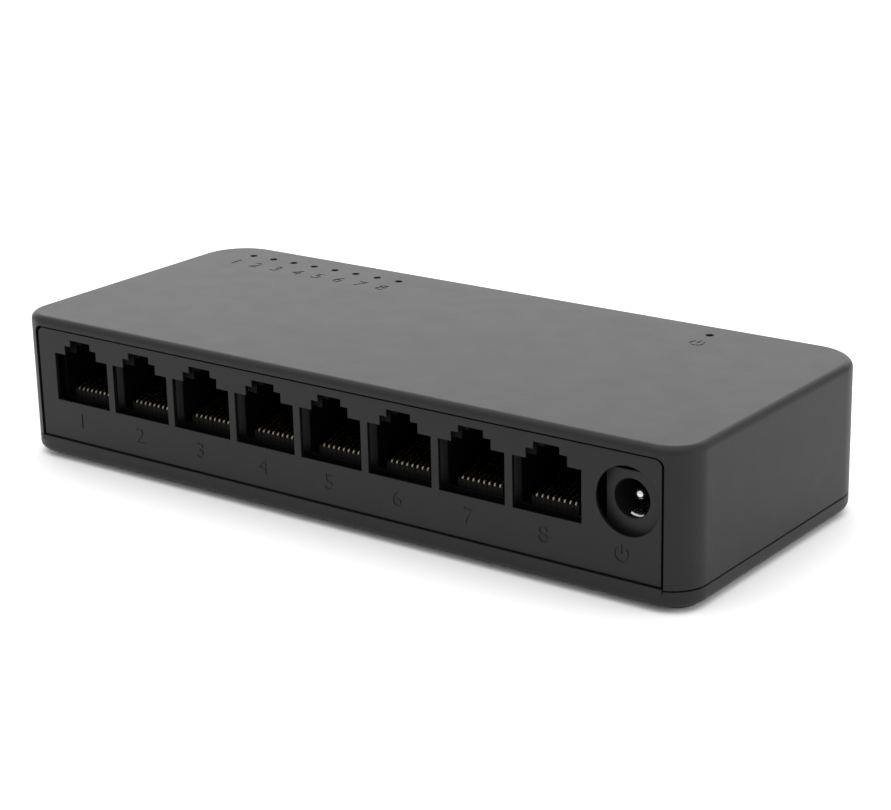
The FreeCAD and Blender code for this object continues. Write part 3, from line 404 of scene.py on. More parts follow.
def rectangle(left, right, bottom, top):
    return [(left, bottom), (right, bottom), (right, top), (left, top)]


def ring(outline, level, axis="Z"):
    """An outline lifted into space: level is its height, or its depth for an outline in X and Z."""
    if axis == "Z":
        return [Vector((x, y, level)) for x, y in outline]
    return [Vector((x, level, y)) for x, y in outline]


def loft(rings, closed=False):
    """A closed mesh through rings that have the same number of points, capped unless it closes on itself."""
    bm = bmesh.new()
    loops = [[bm.verts.new(point) for point in points] for points in rings]
    count = len(loops[0])
    pairs = list(zip(loops, loops[1:]))
    if closed:
        pairs.append((loops[-1], loops[0]))
    for low, high in pairs:
        for index in range(count):
            following = (index + 1) % count
            bm.faces.new((low[index], low[following], high[following], high[index]))
    if not closed:
        bm.faces.new(loops[0])
        bm.faces.new(loops[-1])
    bmesh.ops.recalc_face_normals(bm, faces=bm.faces)
    return to_mesh(bm)


def to_mesh(bm):
    mesh = bpy.data.meshes.new("part")
    bm.to_mesh(mesh)
    bm.free()
    return mesh


def prism(outline, levels, axis="Z"):
    """A solid on an outline; each level is (place along the axis, how far the outline is moved out)."""
    return loft([ring(offset_outline(outline, out), place, axis) for place, out in levels])


def block(low, high):
    return prism(rectangle(low[0], high[0], low[1], high[1]), [(low[2], 0), (high[2], 0)])


def lathe(profile, centre, axis="Z", steps=48):
    """A turned solid from (radius, place along the axis) points, the first and last on a flat end."""
    return loft([ring(circle_outline(centre, radius, steps), place, axis) for radius, place in profile])


def joined(meshes):
    bm = bmesh.new()
    for mesh in meshes:
        bm.from_mesh(mesh)
        bpy.data.meshes.remove(mesh)
    return to_mesh(bm)


def moved(mesh, x=0.0, y=0.0, z=0.0):
    mesh.transform(Matrix.Translation((x, y, z)))
    return mesh


def as_object(data, name="work"):
    """An object in the scene for a mesh, a curve, a light or a camera."""
    thing = bpy.data.objects.new(name, data)
    bpy.context.scene.collection.objects.link(thing)
    return thing


def evaluated_mesh(thing):
    """The mesh of an object with its modifiers applied; the object itself is removed."""
    graph = bpy.context.evaluated_depsgraph_get()
    mesh = bpy.data.meshes.new_from_object(thing.evaluated_get(graph), depsgraph=graph)
    old = thing.data
    bpy.data.objects.remove(thing)
    if old.users == 0:
        bpy.data.meshes.remove(old)
    return mesh


def carved(mesh, cutter, operation="DIFFERENCE"):
    """A mesh with a cutter taken away from it, or joined to it for a union."""
    body, tool = as_object(mesh), as_object(cutter)
    modifier = body.modifiers.new("carve", "BOOLEAN")
    modifier.operation = operation
    modifier.solver = "EXACT"
    modifier.object = tool
    made = evaluated_mesh(body)
    bpy.data.objects.remove(tool)
    bpy.data.meshes.remove(cutter)
    if len(made.polygons) == 0:
        raise RuntimeError("a boolean left nothing")
    return made


def cut(mesh, *cutters):
    """A mesh with cutters taken away from it one after another."""
    for cutter in cutters:
        mesh = carved(mesh, cutter)
    return mesh


@contextmanager
def editing(mesh):
    """The mesh as a bmesh, written back afterwards."""
    bm = bmesh.new()
    bm.from_mesh(mesh)
    yield bm
    bm.to_mesh(mesh)
    bm.free()


def welded(mesh, distance=WELD):
    """The mesh with its doubled points joined and its seams closed."""
    with editing(mesh) as bm:
        bmesh.ops.remove_doubles(bm, verts=bm.verts, dist=distance)
        bmesh.ops.dissolve_degenerate(bm, edges=bm.edges, dist=distance)
        open_edges = [edge for edge in bm.edges if edge.is_boundary]
        ends = {vert for edge in open_edges for vert in edge.verts}
        for edge in open_edges:
            start, end = edge.verts
            for vert in ends - {start, end}:
                place, share = intersect_point_line(vert.co, start.co, end.co)
                if 0 < share < 1 and (place - vert.co).length < distance:
                    bmesh.utils.edge_split(edge, start, share)
                    break
        bmesh.ops.remove_doubles(bm, verts=bm.verts, dist=distance)
    return mesh


def bevelled(mesh, width, segments=2, angle=40):
    """The mesh with its sharp edges broken."""
    thing = as_object(mesh)
    modifier = thing.modifiers.new("bevel", "BEVEL")
    modifier.width = width
    modifier.segments = segments
    modifier.limit_method = "ANGLE"
    modifier.angle_limit = math.radians(angle)
    modifier.harden_normals = False
    return evaluated_mesh(thing)


def finish_piece(name, mesh, slot, replaces=(), finish=None, body=CASE, sharp=32):
    """Turn a mesh in millimetres into a finished piece of the switch that rides on a body.

    The finish is the one made for its material slot unless another is named.
    """
    mesh = welded(mesh)
    mesh.materials.clear()
    mesh.materials.append(FINISHES[finish or slot])
    mesh.polygons.foreach_set("use_smooth", [True] * len(mesh.polygons))
    mesh.set_sharp_from_angle(angle=math.radians(sharp))
    thing = as_object(mesh, name)
    weighted = thing.modifiers.new("weighted_normals", "WEIGHTED_NORMAL")
    weighted.keep_sharp = True
    mesh = evaluated_mesh(thing)
    mesh.transform(Matrix.Scale(MM, 4))
    mesh.name = name
    piece = as_object(mesh, name)
    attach(piece, body)
    if replaces:
        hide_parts(*replaces)
    return piece


# ---------------------------------------------------------------- repeating parts, as node trees

def start_tree(name, *lengths):
    """A geometry tree with a mesh going in and out, and inputs for a row and for other lengths."""
    tree = bpy.data.node_groups.new(name, "GeometryNodeTree")
    tree.is_modifier = True
    tree.interface.new_socket("Geometry", in_out="OUTPUT", socket_type="NodeSocketGeometry")
    kinds = [("Geometry", "Geometry"), ("Count", "Int"), ("Spacing", "Float"), ("Material", "Material")]
    for label, kind in kinds + [(label, "Float") for label in lengths]:
        tree.interface.new_socket(label, in_out="INPUT", socket_type="NodeSocket" + kind)
    return tree, tree.nodes.new("NodeGroupInput").outputs


def end_with_row(tree, given, part):
    """Finish a tree: copies of a part in a row centred on the origin, realised, with their material."""
    span = reckon(tree, "MULTIPLY", reckon(tree, "SUBTRACT", given["Count"], 1.0), given["Spacing"])
    first = add_node(tree, "ShaderNodeCombineXYZ", {"X": reckon(tree, "MULTIPLY", span, -0.5)})
    step = add_node(tree, "ShaderNodeCombineXYZ", {"X": given["Spacing"]})
    line = add_node(tree, "GeometryNodeMeshLine",
                    {"Count": given["Count"], "Start Location": first.outputs[0], "Offset": step.outputs[0]},
                    mode="OFFSET")
    copies = add_node(tree, "GeometryNodeInstanceOnPoints", {"Points": line.outputs[0], "Instance": part})
    solid = add_node(tree, "GeometryNodeRealizeInstances", {"Geometry": copies.outputs[0]})
    painted = add_node(tree, "GeometryNodeSetMaterial",
                       {"Geometry": solid.outputs[0], "Material": given["Material"]})
    add_node(tree, "NodeGroupOutput", {"Geometry": painted.outputs[0]})
    return tree


def part_row_tree():
    """Repeats the part that goes in."""
    tree, given = start_tree("part_row")
    return end_with_row(tree, given, given["Geometry"])


def wire_row_tree():
    """Turns the path that goes in into a flat-sided wire with capped ends and repeats it."""
    tree, given = start_tree("wire_row", "Thickness")
    thick = given["Thickness"]
    path = add_node(tree, "GeometryNodeMeshToCurve", {"Mesh": given["Geometry"]})
    square = add_node(tree, "GeometryNodeCurvePrimitiveQuadrilateral", {"Width": thick, "Height": thick})
    corner = reckon(tree, "MULTIPLY", thick, WIRE_CORNER)
    section = add_node(tree, "GeometryNodeFilletCurve",
                       {"Curve": square.outputs[0], "Radius": corner, "Count": 2}, mode="POLY")
    wire = add_node(tree, "GeometryNodeCurveToMesh",
                    {"Curve": path.outputs[0], "Profile Curve": section.outputs[0], "Fill Caps": True})
    return end_with_row(tree, given, wire.outputs[0])


def in_row(mesh, tree, material, **sizes):
    """Run a row tree on a mesh and return the plain mesh that it makes."""
    thing = as_object(mesh)
    modifier = thing.modifiers.new("row", "NODES")
    modifier.node_group = tree
    sizes["Material"] = material
    for item in tree.interface.items_tree:
        if item.in_out == "INPUT" and item.name in sizes:
            modifier[item.identifier] = sizes[item.name]
    thing.update_tag()
    return evaluated_mesh(thing)


def path_mesh(points):
    """An open run of edges through points given as (y, z) in millimetres."""
    bm = bmesh.new()
    verts = [bm.verts.new((0.0, y, z)) for y, z in points]
    for first, second in zip(verts, verts[1:]):
        bm.edges.new((first, second))
    return to_mesh(bm)


# ---------------------------------------------------------------- engraving

def character(text, height, squeeze=1.15):
    """One engraved numeral as a solid of unit thickness each way from the ground plane, centred."""
    curve = bpy.data.curves.new("numeral", "FONT")
    curve.body = text
    curve.extrude = 1.0
    curve.resolution_u = 6
    thing = as_object(curve, "numeral")
    graph = bpy.context.evaluated_depsgraph_get()
    mesh = bpy.data.meshes.new_from_object(thing.evaluated_get(graph))
    bpy.data.objects.remove(thing)
    bpy.data.curves.remove(curve)
    mesh = welded(mesh, 0.0001)
    xs, ys = [v.co.x for v in mesh.vertices], [v.co.y for v in mesh.vertices]
    mesh.transform(Matrix.Translation((-(min(xs) + max(xs)) / 2, -(min(ys) + max(ys)) / 2, 0)))
    scale = height / (max(ys) - min(ys))
    mesh.transform(Matrix.Diagonal((scale * squeeze, scale, 1.0, 1.0)))
    with editing(mesh) as bm:
        bmesh.ops.recalc_face_normals(bm, faces=bm.faces)
        if bm.calc_volume(signed=True) < 0:
            bmesh.ops.reverse_faces(bm, faces=bm.faces)
    return mesh


def power_sign(height, stroke=0.34):
    """The plain on-off sign, an open ring with an upright bar, as a solid of unit thickness each way."""
    outer = height / 2
    inner = outer - stroke
    opening = math.radians(38)
    angles = [math.pi / 2 + opening + (math.tau - 2 * opening) * step / 30 for step in range(31)]
    outline = [(outer * math.cos(a), outer * math.sin(a)) for a in angles]
    outline += [(inner * math.cos(a), inner * math.sin(a)) for a in reversed(angles)]
    circle = loft([ring(outline, -1.0), ring(outline, 1.0)])
    bar = block((-stroke / 2, 0.0, -1.0), (stroke / 2, outer * 1.08, 1.0))
    return joined([circle, bar])


def set_depth(mesh, depth):
    """Give an engraving tool its depth below the face and a little room above it."""
    for vertex in mesh.vertices:
        vertex.co.z = ABOVE_FACE if vertex.co.z > 0 else -depth
    return mesh


def stand_up(mesh):
    """Turn a tool that lies face up so that it faces the front of the case."""
    mesh.transform(Matrix.Rotation(math.radians(90), 4, "X"))
    return mesh


# ---------------------------------------------------------------- pieces

def in_mm(group):
    """The values of a group of settings, with its lengths in millimetres."""
    kinds = group.bl_rna.properties
    values = {name: getattr(group, name) for name in type(group).__annotations__}
    return SimpleNamespace(**{name: value / MM if kinds[name].unit == "LENGTH" else value
                              for name, value in values.items()})


def settings():
    """The settings of the case, the front and the contacts, with their lengths in millimetres."""
    scene = bpy.context.scene
    return [in_mm(group) for group in (scene.switch_case, scene.switch_front, scene.switch_contacts)]


def port_places(front):
    return [front.first_port + front.port_pitch * index for index in range(front.port_count)]


def at_ports(mesh, front, finish=None):
    """Copies of a mesh at every socket."""
    ports = port_places(front)
    row = in_row(mesh, ROWS["part"], finish, Count=front.port_count, Spacing=front.port_pitch)
    return moved(row, (ports[0] + ports[-1]) / 2)


def mouth_half(front):
    """Half the width of the cover's opening for the panel."""
    return mm_box("front_panel")[1].x - (front.flange_reach - front.reveal)


def screw_places(label, head):
    """The centres of a pair of screws whose heads have this radius."""
    low, high = mm_box(label)
    return [(x, (low.y + high.y) / 2) for x in (low.x + head, high.x - head)]


def inlet_place():
    """Where the middle of the power inlet's bore lies across the case."""
    low, high = mm_box("power_jack_centre_pin")
    return (low.x + high.x) / 2


def mark_tool(mark, height, depth):
    """The tool that engraves a numeral, or the power sign where there is no mark."""
    return set_depth(character(str(mark), height) if mark else power_sign(height), depth)


def shell_levels(height, radius, upwards, steps=8):
    """Levels of a wall that rolls over into a flat end with a round edge, as (place, how far out)."""
    levels = []
    for step in range(steps + 1):
        turn = math.pi / 2 * step / steps
        inward = radius * (1 - math.cos(turn))
        rise = radius * math.sin(turn)
        levels.append((height - radius + rise if upwards else height + radius - rise, -inward))
    return levels


class SWITCH_OT_cover(bpy.types.Operator):
    """Add the moulded cover with its lamp holes and engraved numbers"""
    bl_idname = "switch.cover"
    bl_label = "Cover"

    def execute(self, context):
        case, front, _ = settings()
        low, high = mm_box("top_cover")
        wall, edge = case.wall, case.edge_break
        top = high.z - wall
        outline = rounded_outline(high.x, low.y, high.y, case.front_radius, case.rear_radius)
        outside = shell_levels(high.z, case.top_edge, True)
        inside = shell_levels(top, case.top_edge / 2, True, 4)
        shell = loft([ring(offset_outline(outline, -wall), low.z)]
                     + [ring(offset_outline(outline, -edge), low.z), ring(outline, low.z + edge)]
                     + [ring(offset_outline(outline, out), place) for place, out in outside])
        cavity = prism(offset_outline(outline, -wall), [(low.z - 2 * PAST, 0)] + inside)

        panel_low, panel_high = mm_box("front_panel")
        rim = panel_low.y + front.panel_thickness - OVERLAP
        mouth = arch_outline(mouth_half(front), low.z - 8 * PAST, front.opening_top, front.corner + 0.2)
        opening = prism(mouth, [(low.y - PAST, PAST + edge / 2), (low.y, edge / 2), (low.y + edge / 2, 0),
                                (rim + 0.6, 0)], "Y")
        side = panel_high.x + front.reveal
        groove = block((-side, rim, low.z - 2 * PAST),
                       (side, panel_high.y + CLEARANCE, panel_high.z + CLEARANCE))
        shell = cut(shell, cavity, opening, groove)

        for centre in screw_places("case_screws", CASE_SCREW):
            post = lathe([(POST - 0.2, low.z + 0.4), (POST, low.z + 0.6), (POST, top + ROOT)], centre)
            pilot = lathe([(PILOT, low.z), (PILOT, PILOT_TOP), (0.3, PILOT_TOP + 0.8)], centre, steps=32)
            shell = cut(carved(shell, post, "UNION"), pilot)

        marks = [*range(1, front.port_count + 1), None]
        boxes = [mm_box(f"port_{mark}_lamp" if mark else "power_lamp") for mark in marks]
        centres = [(lamp_low + lamp_high) / 2 for lamp_low, lamp_high in boxes]
        hole = case.lamp_hole / 2
        profile = [(hole, top - PAST), (hole, high.z - FLARE), (hole + FLARE, high.z),
                   (hole + FLARE + PAST, high.z + PAST)]
        holes = [lathe(profile, (centre.x, centre.y), steps=32) for centre in centres]
        tools = [moved(mark_tool(mark, front.top_digit_height, front.engraving * COVER_MARK_DEPTH),
                       centre.x + (0 if mark else COVER_SIGN_SHIFT), centre.y - MARK_GAP, high.z)
                 for mark, centre in zip(marks, centres)]
        finish_piece("cover", cut(shell, joined(holes), joined(tools)), "case_plastic", ["top_cover"])
        return {"FINISHED"}


class SWITCH_OT_base(bpy.types.Operator):
    """Add the base with its rolled lower edge, screw seats and inner lip"""
    bl_idname = "switch.base"
    bl_label = "Base"

    def execute(self, context):
        case, front, _ = settings()
        low, high = mm_box("base_tray")
        seam = mm_box("top_cover")[0].z - SEAM_GAP
        wall, edge = case.wall, case.edge_break
        floor = low.z + BASE_FLOOR
        outline = rounded_outline(high.x, low.y, high.y, case.front_radius, case.rear_radius)
        radii = case.front_radius - wall, case.rear_radius - wall
        levels = shell_levels(low.z, case.base_edge, False)[::-1]
        tray = loft([ring(offset_outline(outline, out), place) for place, out in levels]
                    + [ring(outline, seam - edge), ring(offset_outline(outline, -edge), seam)])
        inside = rounded_outline(high.x - wall, low.y + wall + 1.0, high.y - wall, *radii)
        tray = cut(tray, prism(inside, [(floor, 0), (seam + PAST, 0)]))

        gap = wall + CLEARANCE
        lip = rounded_outline(high.x - gap, mm_box("front_panel")[1].y + 2 * CLEARANCE, high.y - gap, *radii)
        sections = [(0, floor - ROOT), (0, high.z - edge), (-edge, high.z), (edge - LIP, high.z),
                    (-LIP, high.z - edge), (-LIP, floor - ROOT)]
        ridge = loft([ring(offset_outline(lip, out), place) for out, place in sections], closed=True)
        half = mouth_half(front) - CLEARANCE
        top = seam + front.sill
        sill = prism(rectangle(-half, half, low.y, low.y + wall),
                     [(seam - ROOT, 0), (top - edge / 2, 0), (top, -edge / 2)])
        tray = carved(carved(tray, ridge, "UNION"), sill, "UNION")

        board = mm_box("circuit_board")[0].z
        posts, holes, room = [], [], []
        for centre in screw_places("case_screws", CASE_SCREW):
            posts.append(lathe([(SEAT, floor - ROOT), (SEAT, SEAT_TOP - 0.15),
                                (SEAT - 0.15, SEAT_TOP)], centre))
            holes.append(lathe([(HEAD_ROOM + PAST, low.z - PAST), (HEAD_ROOM + FLARE, low.z - FLARE),
                                (HEAD_ROOM, low.z), (HEAD_ROOM, HEAD_TOP), (SHANK_ROOM, HEAD_TOP),
                                (SHANK_ROOM, SEAT_TOP + 1.1)], centre))
            room.append(lathe([(POST + CLEARANCE, SEAT_TOP), (POST + CLEARANCE, ABOVE_POSTS)], centre))
        for centre in screw_places("board_screws", BOARD_SCREW):
            posts.append(lathe([(POST + 0.3, floor - ROOT), (POST, floor + 1.0), (POST, board - 0.1),
                                (POST - 0.1, board)], centre))
            holes.append(lathe([(BOARD_HOLE, 3.2), (BOARD_HOLE, ABOVE_POSTS)], centre))
        for way in (-1, 1):
            posts.append(lathe([(PEG + 0.3, floor - ROOT), (PEG, floor + 1.0), (PEG, board - 0.2),
                                (PEG - 0.1, board - 0.05)], (PEG_PLACE[0] * way, PEG_PLACE[1])))
        pockets = [prism(foot_outline(*mm_box(corner), CLEARANCE),
                         [(low.z - PAST, 0), (mm_box(corner)[1].z, 0)]) for corner in FEET]
        tray = carved(cut(tray, joined(room)), joined(posts), "UNION")
        finish_piece("base", cut(tray, joined(holes), joined(pockets)), "case_plastic", ["base_tray"])
        return {"FINISHED"}


def foot_outline(low, high, growth, steps=10):
    """The outline of a foot: square inside, and round at the corner that faces the case's own corner."""
    left, right, bottom, top = low.x - growth, high.x + growth, low.y - growth, high.y + growth
    outward = (1 if left + right > 0 else -1, 1 if bottom + top > 0 else -1)
    points = []
    for quarter, (x, y, way) in enumerate([(right, bottom, (1, -1)), (right, top, (1, 1)),
                                           (left, top, (-1, 1)), (left, bottom, (-1, -1))], start=-1):
        radius = FOOT_CORNERS[0 if way == outward else 1]
        points += quarter_turn((x - way[0] * radius, y - way[1] * radius), radius, quarter, steps)
    return points


class SWITCH_OT_feet(bpy.types.Operator):
    """Add the four corner feet"""
    bl_idname = "switch.feet"
    bl_label = "Feet"

    def execute(self, context):
        bevel = settings()[0].foot_bevel
        for corner in FEET:
            low, high = mm_box(corner)
            turn = bevel * FOOT_BEVEL_STEP
            pad = prism(foot_outline(low, high, 0.0),
                        [(low.z, -bevel), (low.z + turn, -turn), (low.z + bevel, 0), (high.z, 0)])
            finish_piece(corner + "_pad", pad, "foot_rubber", [corner])
        return {"FINISHED"}


def stepped_outline(front):
    """The outline of a socket opening about its own centre line, in X and Z."""
    steps = [(front.mouth_width / 2, front.mouth_top), (front.shoulder_width / 2, front.shoulder_top),
             (front.latch_width / 2, front.latch_top)]
    return step_points(front.mouth_floor, steps)


def step_points(floor, steps):
    """A closed outline with steps that narrow upwards, each given as (half width, top)."""
    right = [(steps[0][0], floor)]
    for index, (half, top) in enumerate(steps):
        right.append((half, top))
        if index + 1 < len(steps):
            right.append((steps[index + 1][0], top))
    return right + [(-x, z) for x, z in reversed(right)]


class SWITCH_OT_front_panel(bpy.types.Operator):
    """Add the front panel with its stepped openings, inlet hole and engraved numbers"""
    bl_idname = "switch.front_panel"
    bl_label = "Front panel"

    def execute(self, context):
        case, front, _ = settings()
        low, high = mm_box("front_panel")
        half, top = high.x - front.flange_reach, high.z - front.flange_rise
        back = low.y + front.panel_thickness
        edge = case.edge_break / 2
        face = arch_outline(half, low.z, top, front.corner)
        plate = prism(face, [(low.y, -edge), (low.y + edge, 0), (back, 0)], "Y")
        rim = prism(rectangle(-high.x, high.x, low.z, high.z), [(back - OVERLAP, 0), (high.y, 0)], "Y")
        hollow = block((1.0 - half, back, low.z - PAST), (half - 1.0, high.y + PAST, top - 0.5))
        panel = carved(plate, cut(rim, hollow), "UNION")

        tunnel = [(low.y - PAST, PAST + edge), (low.y, edge), (low.y + edge, 0), (back, DRAFT),
                  (high.y + PAST, DRAFT)]
        mouths = at_ports(prism(stepped_outline(front), tunnel, "Y"), front)
        radius, inlet = front.inlet_hole / 2, inlet_place()
        bore = lathe([(radius + edge + PAST, low.y - PAST), (radius + edge, low.y), (radius, low.y + edge),
                      (radius + DRAFT, back), (radius + DRAFT, high.y + PAST)],
                     (inlet + INLET_SHIFT[0], INLET_HEIGHT + INLET_SHIFT[1]), "Y", 96)
        marks = [(mark, x + DIGIT_SHIFT, front.digit_row)
                 for mark, x in enumerate(port_places(front), start=1)]
        marks.append((None, inlet + PANEL_SIGN_SHIFT[0], front.digit_row + PANEL_SIGN_SHIFT[1]))
        tools = [moved(stand_up(mark_tool(mark, front.digit_height, front.engraving)), x, low.y, row)
                 for mark, x, row in marks]
        finish_piece("front_plate", cut(panel, mouths, bore, joined(tools)), "case_plastic", ["front_panel"],
                     "panel_plastic")
        return {"FINISHED"}


def arch_outline(half, bottom, top, radius):
    """The outline of a plate with square lower corners and round upper ones, in X and Z."""
    right = [(half, bottom)] + quarter_turn((half - radius, top - radius), radius, 0, 6)
    return right + [(-x, z) for x, z in reversed(right)]


class SWITCH_OT_socket_block(bpy.types.Operator):
    """Add the moulded block of sockets with the combs that keep the wires apart"""
    bl_idname = "switch.socket_block"
    bl_label = "Socket block"

    def execute(self, context):
        _, front, contacts = settings()
        low, high = mm_box("port_housing")
        tunnel = [(low.y - PAST, PAST + 0.05), (low.y, 0.05), (low.y + 0.05, 0), (low.y + SOCKET_DEPTH, 0)]
        cavity = prism(step_points(SOCKET_FLOOR, SOCKET_STEPS), tunnel, "Y")
        chamber = block((-CHAMBER_HALF, low.y + SOCKET_DEPTH - 0.2, low.z - PAST),
                        (CHAMBER_HALF, low.y + CHAMBER_BACK, CHAMBER_TOP))
        body = cut(bevelled(block(low, high), 0.15), at_ports(cavity, front), at_ports(chamber, front))
        finish_piece("socket_block", body, "socket_plastic", ["port_housing"])

        # The nylon of the combs carries the painted shade of the sockets: a darker colour and a low IOR.
        nylon = FINISHES["socket_plastic"]
        parts = []
        for half, start, end, straight, tip, taper in (FRONT_COMB, COMB_BAR, REAR_COMB):
            parts.append(prism(rectangle(-half, half, low.y + start, low.y + end),
                               [(COMB_FOOT, 0), (straight, 0), (tip, -taper)]))
        for index in (0, 2):
            parts[index] = in_row(parts[index], ROWS["part"], nylon, Count=contacts.wires + 1,
                                  Spacing=contacts.wire_pitch)
        finish_piece("socket_combs", at_ports(joined(parts), front, nylon), "socket_plastic")
        return {"FINISHED"}


class SWITCH_OT_contacts(bpy.types.Operator):
    """Add the spring wires of every socket: the free arms and the fixed leads"""
    bl_idname = "switch.contacts"
    bl_label = "Contacts"

    def execute(self, context):
        _, front, contacts = settings()
        pitch, radius, slope = contacts.wire_pitch, contacts.fold_radius, contacts.slope
        arm_low, arm_high = mm_box("port_1_spring_contacts")
        fold = (arm_low.y + 0.15 + radius, FOLD_HEIGHT)
        end = arm_high.y - 0.2
        top = (fold[0] - radius * math.sin(slope), fold[1] + radius * math.cos(slope))
        arm = arc(fold, radius, math.pi, math.pi / 2 + slope)
        arm += [(end, top[1] + (end - top[0]) * math.tan(slope))]
        lead_low = mm_box("port_1_contact_leads")[0]
        block_front = mm_box("port_housing")[0].y

        def wires(path, count, spacing):
            return in_row(path_mesh(path), ROWS["wire"], FINISHES["gold_plated_contacts"], Count=count,
                          Spacing=spacing, Thickness=contacts.wire_thickness)

        for number, x in enumerate(port_places(front), start=1):
            finish_piece(f"port_{number}_spring_wires", moved(wires(arm, contacts.wires, pitch), x),
                         "gold_plated_contacts", [f"port_{number}_spring_contacts"],
                         body=f"port_{number}_springs", sharp=60)
            leads = []
            for side, depth in LEAD_ROWS:
                rear = block_front + depth
                path = [(fold[0] - radius, fold[1] - 0.1)]
                path += arc((fold[0], RUN_HEIGHT + radius), radius, math.pi, math.pi * 1.5, 6)
                path += arc((rear - radius, RUN_HEIGHT - radius), radius, math.pi / 2, 0, 6)
                path += [(rear, lead_low.z)]
                leads.append(moved(wires(path, contacts.wires // 2, pitch * 2), -side * pitch / 2))
            finish_piece(f"port_{number}_lead_wires", moved(joined(leads), x), "gold_plated_contacts",
                         [f"port_{number}_contact_leads"], sharp=60)
        return {"FINISHED"}


class SWITCH_OT_power_inlet(bpy.types.Operator):
    """Add the barrel inlet: housing, centre pin, spring leaf and terminal"""
    bl_idname = "switch.power_inlet"
    bl_label = "Power inlet"

    def execute(self, context):
        low, high = mm_box("power_jack_housing")
        x = inlet_place()
        axis = (x, INLET_HEIGHT)
        middle = (low.x + high.x) / 2
        outline = [(middle + a, b) for a, b in arch_outline((high.x - low.x) / 2, low.z, high.z, 0.8)]
        body = prism(outline, [(low.y, -FLARE), (low.y + FLARE, 0),
                               (high.y - FLARE, 0), (high.y, -FLARE)], "Y")
        bore = lathe([(INLET_BORE + 0.08 + PAST, low.y - PAST), (INLET_BORE + 0.08, low.y),
                      (INLET_BORE, low.y + 0.08), (INLET_BORE, low.y + INLET_DEPTH)], axis, "Y", 72)
        pin_way = lathe([(PIN_WAY, low.y + INLET_DEPTH - 0.5), (PIN_WAY, high.y + PAST)], axis, "Y", 32)
        slot_back = low.y + 8.6
        slot = block((x - SLOT_HALF, low.y + 0.8, 11.6), (x + SLOT_HALF, slot_back, 14.3))
        way_down = block((x - SLOT_HALF, slot_back - 1.1, low.z - PAST), (x + SLOT_HALF, slot_back, 12.0))
        finish_piece("inlet_housing", cut(body, bore, pin_way, slot, way_down), "socket_plastic",
                     ["power_jack_housing"], "inlet_plastic")

        pin_low, pin_high = mm_box("power_jack_centre_pin")
        dome = [(PIN * math.sin(turn), pin_low.y + PIN * (1 - math.cos(turn)))
                for turn in (math.radians(step * 9 + 4) for step in range(10))]
        pin = lathe([(0.02, pin_low.y)] + dome + [(PIN, pin_high.y - 0.2)], axis, "Y", 40)
        blade = bevelled(block((pin_low.x, pin_high.y - 0.4, pin_low.z), pin_high), 0.06)
        finish_piece("inlet_pin", joined([pin, blade]), "tinned_pin", ["power_jack_centre_pin"])

        # From the root, over the crest that the plug rubs on, to the round nose, as (y, z).
        path = [(low.y + 8.2, 13.1), (low.y + 5.0, 13.6), (low.y + 3.9, 13.9)]
        path += arc((low.y + LEAF_NOSE[0], LEAF_NOSE[1]), LEAF_NOSE_RADIUS, math.radians(80), math.pi, 10)
        leaf = strip(path, LEAF_THICKNESS, x - LEAF_HALF, x + LEAF_HALF)
        for vertex in leaf.vertices:
            vertex.co.z += LEAF_CROWN * ((vertex.co.x - x) / LEAF_HALF) ** 2 - LEAF_DROP
        finish_piece("inlet_leaf", bevelled(leaf, 0.05), "spring_metal", ["power_jack_spring_leaf"],
                     body="power_jack_leaf", sharp=40)
        terminal = bevelled(block(*mm_box("power_jack_sleeve_terminal")), 0.06)
        finish_piece("inlet_terminal", terminal, "spring_metal", ["power_jack_sleeve_terminal"])
        return {"FINISHED"}


def strip(path, thickness, left, right, steps=8):
    """A flat strip of even thickness along a path of (y, z) points, between two places across the case."""
    upper, lower = [], []
    for index, (y, z) in enumerate(path):
        before = Vector(path[max(index - 1, 0)])
        after = Vector(path[min(index + 1, len(path) - 1)])
        way = (after - before).normalized()
        normal = Vector((-way.y, way.x)) * thickness / 2
        upper.append((y + normal.x, z + normal.y))
        lower.append((y - normal.x, z - normal.y))
    outline = upper + lower[::-1]
    places = [left + (right - left) * step / steps for step in range(steps + 1)]
    return loft([[Vector((place, y, z)) for y, z in outline] for place in places])


class SWITCH_OT_screws(bpy.types.Operator):
    """Add the case screws and the board screws with their cross recesses"""
    bl_idname = "switch.screws"
    bl_label = "Screws"

    def execute(self, context):
        for label, radius, shank, down in (("case_screws", CASE_SCREW, 1.4, True),
                                           ("board_screws", BOARD_SCREW, 1.1, False)):
            low, high = mm_box(label)
            face, neck, tip = (low.z, low.z + 1.05, high.z) if down else (high.z, high.z - 1.5, low.z)
            way = 1 if down else -1
            profile = [(radius * 0.55, face), (radius * 0.9, face + way * 0.18), (radius, face + way * 0.55),
                       (radius, neck), (shank, neck)]
            thread, thread_rise = 0.45, 0.14
            for turn in range(int(abs(tip - neck) / thread) - 1):
                place = neck + way * (0.5 + turn * thread)
                profile += [(shank * 0.8, place - way * thread_rise), (shank, place),
                            (shank * 0.8, place + way * thread_rise)]
            screw = lathe(profile + [(shank * 0.3, tip)], (0.0, 0.0), steps=32)
            ends = sorted((face - way * PAST, face + way * 0.7))
            long, thin = 1.3, 0.28
            arms = [block((-x, -y, ends[0]), (x, y, ends[1])) for x, y in ((long, thin), (thin, long))]
            pair = in_row(cut(screw, *arms), ROWS["part"], FINISHES["screw_steel"], Count=2,
                          Spacing=high.x - low.x - 2 * radius)
            pair = moved(pair, (low.x + high.x) / 2, (low.y + high.y) / 2)
            finish_piece(label + "_pair", pair, "screw_steel", [label])
        return {"FINISHED"}


BEVELS = {"circuit_board": 0.0, "ferrite": 0.15, "shroud_plastic": 0.1, "crystal_can": 0.12,
          "capacitor_can": 0.08}


